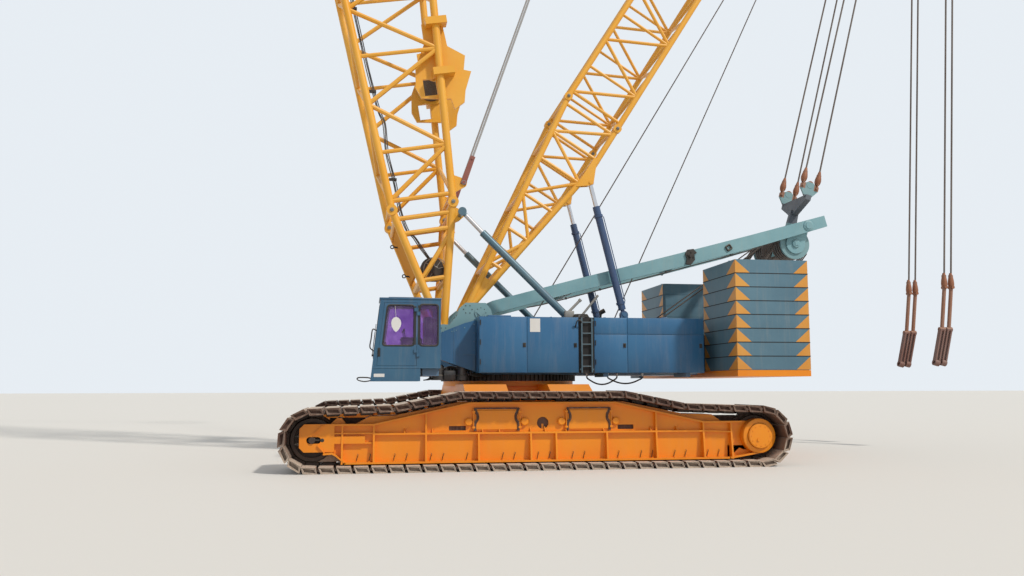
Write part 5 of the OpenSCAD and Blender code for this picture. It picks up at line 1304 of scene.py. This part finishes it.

# %% [markdown]
# ## Under and around the front cover
# The front cover is two sheets that meet in a thin seam, with a small hatch low at the back. Below it the
# swing drive, its valve block and their pipes look out of the dark. The pipes are stiff lines clipped to
# the deck; the two loose hoses in front of them hang free.

# %% Cover seam, hatch and screws
cover_parts = bmesh.new()
COVER_Y = -1.75
box(cover_parts, (-1.556, COVER_Y - 0.006, 2.18), (-1.546, COVER_Y, 3.0), 0.002, 1)
box(cover_parts, (-1.11, COVER_Y - 0.010, 2.02), (-1.045, COVER_Y, 2.40), 0.003, 1)
box(cover_parts, (-1.34, COVER_Y - 0.008, 2.38), (-1.045, COVER_Y, 2.392), 0.002, 1)
for z in (2.5, 2.7, 2.9, 3.1):
    stamp(cover_parts, bolt, [bolt_place((-1.08, COVER_Y, z), OUT, 0.013)])
for x in (-1.80, -1.60, -1.50, -1.30):
    stamp(cover_parts, bolt, [bolt_place((x, COVER_Y, 2.93 + 0.3 * max(0.0, x + 1.6)), OUT, 0.013)])
close_piece(cover_parts, "front_cover_parts", "upperworks", frame_paint)

# %% Swing drive, valve block and pipes
drive = bmesh.new()
for x in (-1.90, -1.35):
    spun(drive, [(0.0, 0.0), (0.17, 0.0), (0.17, 0.10), (0.14, 0.13), (0.14, 0.32), (0.10, 0.36), (0.0, 0.36)],
         (x, -1.55, 1.80), (0, 0, 1), 32)
    stamp(drive, bolt, bolt_circle((x, -1.55, 1.90), (0, 0, 1), 0.155, 12, 0.013))
box(drive, (-1.78, -1.70, 1.80), (-1.50, -1.50, 2.02), 0.015, 2)
for i in range(4):
    rod(drive, (-1.75 + 0.07 * i, -1.74, 1.93), (-1.75 + 0.07 * i, -1.68, 1.93), 0.022, 12)
    rod(drive, (-1.75 + 0.07 * i, -1.60, 2.0), (-1.75 + 0.07 * i, -1.60, 2.07), 0.016, 12)
close_piece(drive, "swing_drive", "upperworks", oily_iron)

pipes = bmesh.new()
for i in range(5):
    y = -1.66 + 0.045 * i
    bend = [(-2.25 + 0.03 * i, y, 1.80), (-2.05, y, 1.83 + 0.02 * i), (-1.85, y, 2.0), (-1.60, y, 2.12 - 0.02 * i),
            (-1.25, y, 1.95), (-1.0, y, 1.88 + 0.02 * i), (-0.75, y, 1.90)]
    tube(pipes, smooth_line(bend, 6), 0.013, 8)
for x in (-1.72, -1.15):
    box(pipes, (x - 0.02, -1.69, 1.90), (x + 0.02, -1.43, 2.10), 0.005, 1)
close_piece(pipes, "swing_pipes", "upperworks", rubber)

# %% [markdown]
# Free hoses hang in a loop between two fittings. Each runs straight out of its fitting for a few
# diameters, then hangs under its own weight; the line is a hanging curve through points.

# %% Hanging hoses
HOSE_D = 0.036


def hanging_hose(name, start, end, drop):
    start, end = Vector(start), Vector(end)
    points = [start, start - Vector((0, 0, 0.10))]
    for i in range(1, 8):
        t = i / 8
        sag = drop * 4 * t * (1 - t)
        points.append(start.lerp(end, t) - Vector((0, 0, 0.10 + sag)))
    points += [end - Vector((0, 0, 0.10)), end]
    line = smooth_line(points, 4)
    bm = bmesh.new()
    tube(bm, line, HOSE_D / 2, 10)
    piece = close_piece(bm, name, "upperworks", rubber, 60.0)


fittings_low = bmesh.new()
HOSE_TOP = 1.955
hose_ends = []
for i, (x0, x1, y, drop) in enumerate(((1.62, 2.35, -1.78, 0.16), (2.10, 2.95, -1.90, 0.14))):
    ends = [(x0, y, HOSE_TOP), (x1, y, HOSE_TOP)]
    hanging_hose("house_hose_%d" % (i + 1), *ends, drop)
    hose_ends += ends
for x, y, z in hose_ends:
    rod(fittings_low, (x, y, z - 0.05), (x, y, z + 0.006), 0.026, 6)
    rod(fittings_low, (x, y, z - 0.07), (x, y, z - 0.05), 0.022, 12)
close_piece(fittings_low, "hose_fittings", "upperworks", zinc_steel)

# %% [markdown]
# ## On the left roof
# Beside the boom's backstop lie its limit switch, with a lever that the barrel pushes, a bundle of cable
# strapped to the roof in loops, and a pipe stand.

# %% Roof clutter
clutter = bmesh.new()
lever_low, lever_high = Vector((1.14, -1.99, 3.40)), Vector((1.40, -1.99, 3.66))
rod(clutter, lever_low, lever_high, 0.032, 12)
rod(clutter, lever_high, lever_high + (lever_high - lever_low).normalized() * 0.05, 0.042, 12)
box(clutter, (1.04, -2.06, 3.25), (1.26, -1.93, 3.42), 0.012, 2)
strut_low, strut_high = Vector((1.45, -1.72, 3.25)), Vector((1.93, -1.72, 3.83))
rod(clutter, strut_low, strut_high, 0.028, 12)
box(clutter, (strut_low.x - 0.06, strut_low.y - 0.06, roof_z),
    (strut_low.x + 0.06, strut_low.y + 0.06, roof_z + 0.02), 0.004, 1)
close_piece(clutter, "roof_switch", "upperworks", worn_grey)

cables = bmesh.new()
for i in range(4):
    rise = 0.022 + 0.02 * i
    loop = []
    for k in range(13):
        angle = math.tau * k / 12
        loop.append((1.42 + (0.20 - 0.015 * i) * math.cos(angle), -2.06 + 0.13 * math.sin(angle), roof_z + rise))
    tube(cables, smooth_line(loop, 4), 0.009, 6)
for side, y in ((-1, -1.62), (1, 1.62)):
    strap = [(-0.6, y, roof_z + 0.018), (0.2, y - side * 0.03, roof_z + 0.020), (0.9, y, roof_z + 0.018),
             (1.0, y - side * 0.05, roof_z + 0.02), (1.02, y - side * 0.13, roof_z + 0.02)]
    tube(cables, smooth_line(strap, 6), 0.016, 8)
close_piece(cables, "roof_cables", "upperworks", rubber)

# %% [markdown]
# ## Rope on the drums
# A full drum shows the top layer of its rope, turn beside turn. Each drum gets a sleeve whose profile is
# one small bump per turn, spun round the drum's axis.

# %% Windings
TURN = 0.032


def winding(bm, centre, radius, half_len, along=(0.0, 1.0, 0.0)):
    profile = [(radius - 0.03, -half_len)]
    turns = int(2 * half_len / TURN)
    for i in range(turns):
        start = -half_len + i * TURN
        profile += [(radius, start + 0.001), (radius + 0.013, start + TURN * 0.3),
                    (radius + 0.013, start + TURN * 0.7)]
    profile += [(radius, half_len), (radius - 0.03, half_len)]
    spun(bm, profile, centre, along, 40)


DRUM_HALF = 0.90
drums = ((-0.20, 2.75, 0.392), (0.90, 2.74, 0.392), (2.15, 2.74, 0.372), (3.50, 2.62, 0.352))
for i, (x, z, radius) in enumerate(drums):
    wound = bmesh.new()
    winding(wound, (x, 0.0, z), radius, DRUM_HALF)
    close_piece(wound, "winch_rope_%d" % (i + 1), "upperworks", rope_wire)
BOOM_DRUM = (1.49 / 2 + (2.62 - 1.49) / 2 * (6.7 - 3.1) / (12.0 - 3.1) - 0.06, 6.64)
wound = bmesh.new()
winding(wound, on_boom(*BOOM_DRUM), 0.342, DRUM_HALF)
close_piece(wound, "boom_winch_rope", "boom", rope_wire)

# %% [markdown]
# ## Ropes that cross a joint
# Two hoist ropes run from the deck to the mast's head, one to its sheaves and one to a guide sheave that
# hangs behind them. The A-frame's hoist is reeved between its own sheaves and those on the deck. Each
# rope is held taut, so it is a straight line between two tangent points.

# %% Rope sockets
STAY_Y, STAY_REACH, SOCKET_Z = 0.62, 0.20, 1.175
pear = [(0.0, 0.0), (0.052, 0.012), (0.078, 0.07), (0.086, 0.14), (0.076, 0.21), (0.050, 0.32),
        (0.032, 0.40), (0.0, 0.405)]
sockets = bmesh.new()
for y in (-STAY_Y, STAY_Y):
    for x in (-STAY_REACH, STAY_REACH):
        spun(sockets, pear, on_stay(x, SOCKET_Z + 0.09, y), tuple(stay_dir), 24)
close_piece(sockets, "stay_sockets", "mast", rusty_iron)

HANG_TOP, HANG_Y, HANG_STEP = Vector((11.88, 0.0, 4.31)), 0.80, (-0.100, 0.100)
link_ends = bmesh.new()
for y in (-HANG_Y, HANG_Y):
    for dx in HANG_STEP:
        at = HANG_TOP + Vector((dx, y, 0.0))
        spun(link_ends, [(0.0, -0.03), (0.070, -0.02), (0.082, 0.06), (0.074, 0.16), (0.052, 0.28),
                         (0.033, 0.36), (0.0, 0.365)], at, (0, 0, 1), 24)
        rod(link_ends, at + Vector((0.0, -0.09, -0.03)), at + Vector((0.0, 0.09, -0.03)), 0.045, 16)
close_piece(link_ends, "pendant_sockets", "pendants", rusty_iron)

# %% Hoist ropes and their guide sheave
ROPE_R = 0.015


def taut(bm, a, b, radius=ROPE_R, parts=12):
    a, b = Vector(a), Vector(b)
    tube(bm, [a.lerp(b, i / parts) for i in range(parts + 1)], radius, 6)


GUIDE = (0.95, 26.6)
guide = bmesh.new()
spun(guide, [(0.06, -0.045), (0.27, -0.045), (0.27, -0.035), (0.245, -0.012), (0.245, 0.012),
             (0.27, 0.035), (0.27, 0.045), (0.06, 0.045)], on_mast(*GUIDE), (0, 1, 0), 40)
guide_cheek = [tuple(on_mast(x, z).xz) for x, z in
               ((-0.15, 27.05), (0.0, 27.36), (0.15, 27.30), (1.06, 26.70), (1.06, 26.5), (0.9, 26.47))]
for y in (-0.075, 0.055):
    plate(guide, guide_cheek, y, y + 0.02)
rod(guide, on_mast(*GUIDE, y=-0.09), on_mast(*GUIDE, y=0.09), 0.05, 20)
close_piece(guide, "mast_guide_sheave", "mast", boom_paint)

rear_tangent = on_mast(GUIDE[0] + 0.25, GUIDE[1])
for name, low, high in (("hoist_rope_1", Vector((0.137, 0.0, 2.544)), rear_tangent),
                        ("hoist_rope_2", Vector((2.487, 0.245, 2.577)), on_mast(0.39, 27.15, 0.245))):
    line = bmesh.new()
    taut(line, low, high, parts=20)
    piece = close_piece(line, name, None, rope_wire, 60.0)
    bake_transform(piece)

# %% A-frame reeving
A_SHEAVE, A_SHEAVE_R = on_a_frame(*SHEAVE_PIN), 0.40
DECK_SHEAVE, DECK_SHEAVE_R = Vector((5.5, 0.0, 2.7)), 0.33
run = (A_SHEAVE - DECK_SHEAVE).normalized()
across_run = Vector((-run.z, 0.0, run.x))
reeving = bmesh.new()
for side in (-1, 1):
    for low_y, high_y in ((0.865, 0.815), (0.725, 0.695), (0.585, 0.575), (0.445, 0.455)):
        for edge in (-1, 1):
            low = DECK_SHEAVE + across_run * edge * (DECK_SHEAVE_R + ROPE_R) + Vector((0, side * low_y, 0))
            high = A_SHEAVE + across_run * edge * (A_SHEAVE_R + ROPE_R) + Vector((0, side * high_y, 0))
            taut(reeving, low, high, 0.017, 8)
for y in (-0.335, 0.335):
    taut(reeving, (3.36, y, 2.96), A_SHEAVE + across_run * (A_SHEAVE_R + ROPE_R) + Vector((0, y, 0)), 0.017, 8)
piece = close_piece(reeving, "a_frame_reeving", None, rope_wire, 60.0)
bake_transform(piece)

# %% [markdown]
# ## Fittings of the A-frame
# Bolts ring the head pin. Two brackets sit on the beam's side: a worn clamp and a small square socket.
# A thin pipe runs under the near beam, the outer sheave cheeks have their pin ends with a keeper, and the
# pivot's round plate has its own keeper bolts.

# %% A-frame fittings
A_BEAM = 0.985 + 0.085
arm = bmesh.new()
spun(arm, [(0.0, 0.0), (0.135, 0.0), (0.135, 0.02), (0.10, 0.035), (0.085, 0.035), (0.085, 0.05), (0.0, 0.05)],
     on_a_frame(*HEAD_PIN, -A_BEAM), OUT, 32)
stamp(arm, bolt, bolt_circle(on_a_frame(*HEAD_PIN, -A_BEAM - 0.02), OUT, 0.112, 8, 0.014))
spun(arm, [(0.0, 0.0), (0.105, 0.0), (0.105, 0.03), (0.09, 0.045), (0.0, 0.045)],
     on_a_frame(*SHEAVE_PIN, -0.895), OUT, 32)
keeper = Vector((0.05, 0.0, 0.05))
box(arm, on_a_frame(*SHEAVE_PIN, -0.955) - keeper, on_a_frame(*SHEAVE_PIN, -0.93) + keeper, 0.006, 1)
both_sides(arm)
close_piece(arm, "a_frame_fittings", "a_frame_arm", pale_paint)

bracket = bmesh.new()
worn = [(5.50, 0.16), (5.58, 0.24), (5.74, 0.22), (5.80, 0.10), (5.72, 0.08), (5.70, -0.06),
        (5.55, -0.16), (5.44, -0.10), (5.50, 0.02)]
plate(bracket, [tuple(on_a_frame(x, z).xz) for x, z in worn], -A_BEAM - 0.05, -A_BEAM)
for x, z in ((5.55, 0.10), (5.68, 0.02), (5.66, 0.15)):
    stamp(bracket, bolt, [bolt_place(on_a_frame(x, z, -A_BEAM - 0.05), OUT, 0.025)])
rod(bracket, on_a_frame(5.60, 0.06, -A_BEAM - 0.10), on_a_frame(5.60, 0.06, -A_BEAM - 0.05), 0.035, 12)
corners = [(6.60, 0.06), (6.72, 0.10), (6.76, -0.01), (6.64, -0.05)]
for (ax, az), (bx, bz) in zip(corners, corners[1:] + corners[:1]):
    rod(bracket, on_a_frame(ax, az, -A_BEAM - 0.02), on_a_frame(bx, bz, -A_BEAM - 0.02), 0.022, 8)
both_sides(bracket)
close_piece(bracket, "a_frame_brackets", "a_frame_arm", dark_iron)

under_pipes = bmesh.new()
pipe_run = [(1.2, -0.140), (1.6, -0.168), (2.8, -0.178), (5.2, -0.178), (7.0, -0.178), (7.6, -0.168)]
tube(under_pipes, smooth_line([on_a_frame(x, z, -A_BEAM + 0.03) for x, z in pipe_run], 4), 0.015, 8)
for x in (2.2, 3.1, 4.9, 6.7):
    place = on_a_frame(x, -0.17, -A_BEAM + 0.03)
    box(under_pipes, place - Vector((0.022, 0.022, 0.028)), place + Vector((0.022, 0.022, 0.030)), 0.004, 1)
close_piece(under_pipes, "a_frame_pipes", "a_frame_arm", rubber)

# %% Pivot plates, sheave bolts and the mast's feet
pivots = bmesh.new()
GIRDER_FACE = GIRDER_Y + 0.17
stamp(pivots, bolt, bolt_circle((FRAME_PIN[0], -GIRDER_FACE - 0.022, FRAME_PIN[1]), OUT, 0.118, 8, 0.012))
for x, z in (MAST_PIN, BOOM_PIN):
    stamp(pivots, bolt, bolt_circle((x, -GIRDER_FACE - 0.002, z), OUT, 0.10, 6, 0.014))
both_sides(pivots)
close_piece(pivots, "pivot_bolts", "upperworks", dark_iron)

FOOT_HALF = 0.092
feet = bmesh.new()
for face in (-1, 1):
    foot_face = on_mast(0.0, 0.0, -GIRDER_Y + face * FOOT_HALF)
    stamp(feet, bolt, bolt_circle(foot_face, (0, face, 0), 0.115, 8, 0.012))
both_sides(feet)
close_piece(feet, "mast_foot_bolts", "mast", boom_paint)

# %% [markdown]
# ## Section joints
# Boom and mast are built from sections that meet in pinned eyes at their four corners. A pin's head and
# its split keeper show on both sides of every eye, bare and a little rusty.

# %% Joint pins
def joint_pins(bm, place, d, w, z, chord_r, pin_r):
    for sx in (-1, 1):
        for sy in (-1, 1):
            for face in (-1, 1):
                y = sy * w / 2 + face * chord_r * 1.25
                out = (0, face, 0)
                spun(bm, [(0.0, 0.0), (pin_r, 0.0), (pin_r, 0.022), (pin_r * 0.8, 0.035), (0.0, 0.035)],
                     place(sx * d / 2, z, y), out, 20)
                rod(bm, place(sx * d / 2 - pin_r * 0.6, z, y + face * 0.045),
                    place(sx * d / 2 + pin_r * 0.6, z, y + face * 0.045), 0.008, 6)


boom_pins = bmesh.new()
for z, d in ((3.08, 1.49), (11.98, 2.62), (20.98, 2.62), (29.98, 2.62)):
    joint_pins(boom_pins, on_boom, d, 2.5, z, 0.095, 0.050)
for side in (-1, 1):
    for y in (side * GIRDER_Y - 0.05, side * GIRDER_Y + 0.05):
        rod(boom_pins, on_boom(*ROPE_LUG, y - 0.02), on_boom(*ROPE_LUG, y + 0.02), 0.058, 16)
close_piece(boom_pins, "boom_joint_pins", "boom", worn_grey)

mast_pins = bmesh.new()
for z in (5.925, 13.75, 21.585):
    joint_pins(mast_pins, on_mast, 1.48, 2.5, z, 0.075, 0.042)
close_piece(mast_pins, "mast_joint_pins", "mast", worn_grey)

# %% [markdown]
# The front of the boom's foot is closed by a sheet between its two front chords. It carries a shackle eye
# and a hook bracket for the hoses, and behind it one only looks through the sides.

# %% Front sheet of the boom's foot
# The sheet's paint is darker than the boom's and nearly free of dust: painted shade, so that it reads as shaded as
# the chords beside it. Its gloss is turned down too.
sheet_shade_paint = weathered("sheet_shade_paint", (0.60, 0.22, 0.010), (0.66, 0.28, 0.03), 0.10, 0.5, 0.8)
sheet_shader = next(node for node in sheet_shade_paint.node_tree.nodes if node.type == "BSDF_PRINCIPLED")
sheet_shader.inputs["Specular IOR Level"].default_value = 0.1
SHEET_LOW, SHEET_HIGH = 1.45, 2.72
SHEET_FRONT, SHEET_BACK = 0.075, 0.050
CHORD_RATE = 1.49 / 2 / 3.1
front_sheet = bmesh.new()
sheet_line = [(-CHORD_RATE * z - shift, z) for z, shift in
              ((SHEET_LOW, SHEET_FRONT), (SHEET_HIGH, SHEET_FRONT),
               (SHEET_HIGH, SHEET_BACK), (SHEET_LOW, SHEET_BACK))]
plate(front_sheet, [tuple(on_boom(x, z).xz) for x, z in sheet_line], -1.22, 1.22)
for z in (SHEET_LOW + 0.03, SHEET_HIGH - 0.03):
    x = -CHORD_RATE * z - SHEET_FRONT
    rod(front_sheet, on_boom(x, z, -1.2), on_boom(x, z, 1.2), 0.022, 12)
close_piece(front_sheet, "boom_foot_sheet", "boom", sheet_shade_paint)

hooks = bmesh.new()
for z, y in ((1.62, 0.45), (2.40, 0.35)):
    root = on_boom(-CHORD_RATE * z - 0.07, z, y)
    tip = on_boom(-CHORD_RATE * z - 0.17, z + 0.03, y)
    rod(hooks, root, tip, 0.020, 10)
    spun(hooks, [(0.028, -0.012), (0.055, -0.012), (0.055, 0.012), (0.028, 0.012), (0.028, -0.012)],
         tip + Vector((-0.045, 0.0, 0.0)), (0.0, 1.0, 0.0), 20)
close_piece(hooks, "boom_foot_hooks", "boom", dark_iron)

# %% [markdown]
# Three thin hydraulic lines leave the hose reel and run up inside the near front chord, to the winch in the
# boom and past it. They are clipped to the chord; a bundle like this always looks a little untidy.

# %% Hydraulic lines on the boom
reel_low, reel_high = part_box("hose_reel")
lines = bmesh.new()
climb = [(-0.33, 2.41), (-0.469, 2.60), (-0.562, 3.09), (-0.588, 3.74), (-0.627, 4.18), (-0.665, 4.62),
         (-0.617, 5.30), (-0.70, 5.66), (-0.80, 6.60), (-0.87, 7.60), (-0.95, 9.0), (-1.05, 11.2)]
for i in range(3):
    shift = 0.034 * i
    sway = [0.008 * ((k + i) % 2) for k in range(len(climb))]
    points = [on_boom(x + shift + w, z, -0.93 + 0.02 * i) for (x, z), w in zip(climb, sway)]
    leave = [on_boom(-0.02 + shift, 1.88, -0.63 + 0.05 * i), on_boom(-0.19 + shift, 2.16, -0.75)]
    tube(lines, smooth_line([*leave, *points], 5), 0.013, 8)
close_piece(lines, "boom_winch_lines", "boom", oily_iron)

clips = bmesh.new()
for x, z in ((-0.60, 3.9), (-0.76, 6.15), (-0.91, 8.3), (-1.00, 10.2)):
    half_clip = Vector((0.0, 0.0, 0.015))
    box(clips, on_boom(x - 0.08, z, -0.95) - half_clip, on_boom(x + 0.11, z, -0.87) + half_clip, 0.004, 1)
close_piece(clips, "boom_line_clips", "boom", dark_iron)

# %% Spokes and hub of the hose reel
reel_middle = (reel_low + reel_high) / 2
reel = bmesh.new()
hub = Vector((reel_middle.x, 0.0, reel_high.z - 0.29))
for y, face in ((reel_low.y + 0.060, -1), (reel_high.y - 0.080, 1)):
    centre = Vector((hub.x, y, hub.z))
    out = (0, face, 0)
    spun(reel, [(0.272, 0.0), (0.290, 0.0), (0.290, 0.016), (0.272, 0.016), (0.272, 0.0)], centre, out, 48)
    spun(reel, [(0.0, 0.0), (0.075, 0.0), (0.075, 0.012), (0.055, 0.020), (0.0, 0.020)], centre, out, 24)
    for k in range(8):
        angle = math.tau * k / 8 + 0.2
        aim = Vector((math.cos(angle), 0.0, math.sin(angle)))
        lift = Vector((0, face * 0.006, 0))
        rod(reel, centre + aim * 0.06 + lift, centre + aim * 0.276 + lift, 0.010, 6)
close_piece(reel, "hose_reel_spokes", "boom", worn_grey)

# %% Mast backstop lines and rings
stop_lines = bmesh.new()
STOP_LOW = Vector((2.70, 0.0, 3.40))
stop_reach = on_mast(0.882, 4.361) - STOP_LOW
stop_dir = stop_reach.normalized()
stop_side = Vector((stop_dir.z, 0.0, -stop_dir.x))
stop_len = stop_reach.length
barrel_len = stop_len - 0.62
for side in (-1, 1):
    centre = Vector((0.0, side * GIRDER_Y, 0.0))
    for along in (0.30, barrel_len - 0.25):
        at = STOP_LOW + centre + stop_dir * along
        spun(stop_lines, [(0.085, -0.03), (0.112, -0.03), (0.112, 0.03), (0.085, 0.03)], at, stop_dir, 28)
    at_low = STOP_LOW + centre + stop_dir * 0.32 + stop_side * 0.125
    rod(stop_lines, at_low, at_low + stop_dir * (barrel_len - 0.60), 0.012, 8)
close_piece(stop_lines, "mast_stop_lines", "stop_barrels", navy_paint)

# %% [markdown]
# ## Finish
# With every added piece, the overall box is nearly that of the CAD model alone: the guide sheave reaches a
# little further back than the mast's head, and the shoes a centimetre or so below the ground.

# %% View transform
bpy.context.scene.view_settings.view_transform = "Standard"
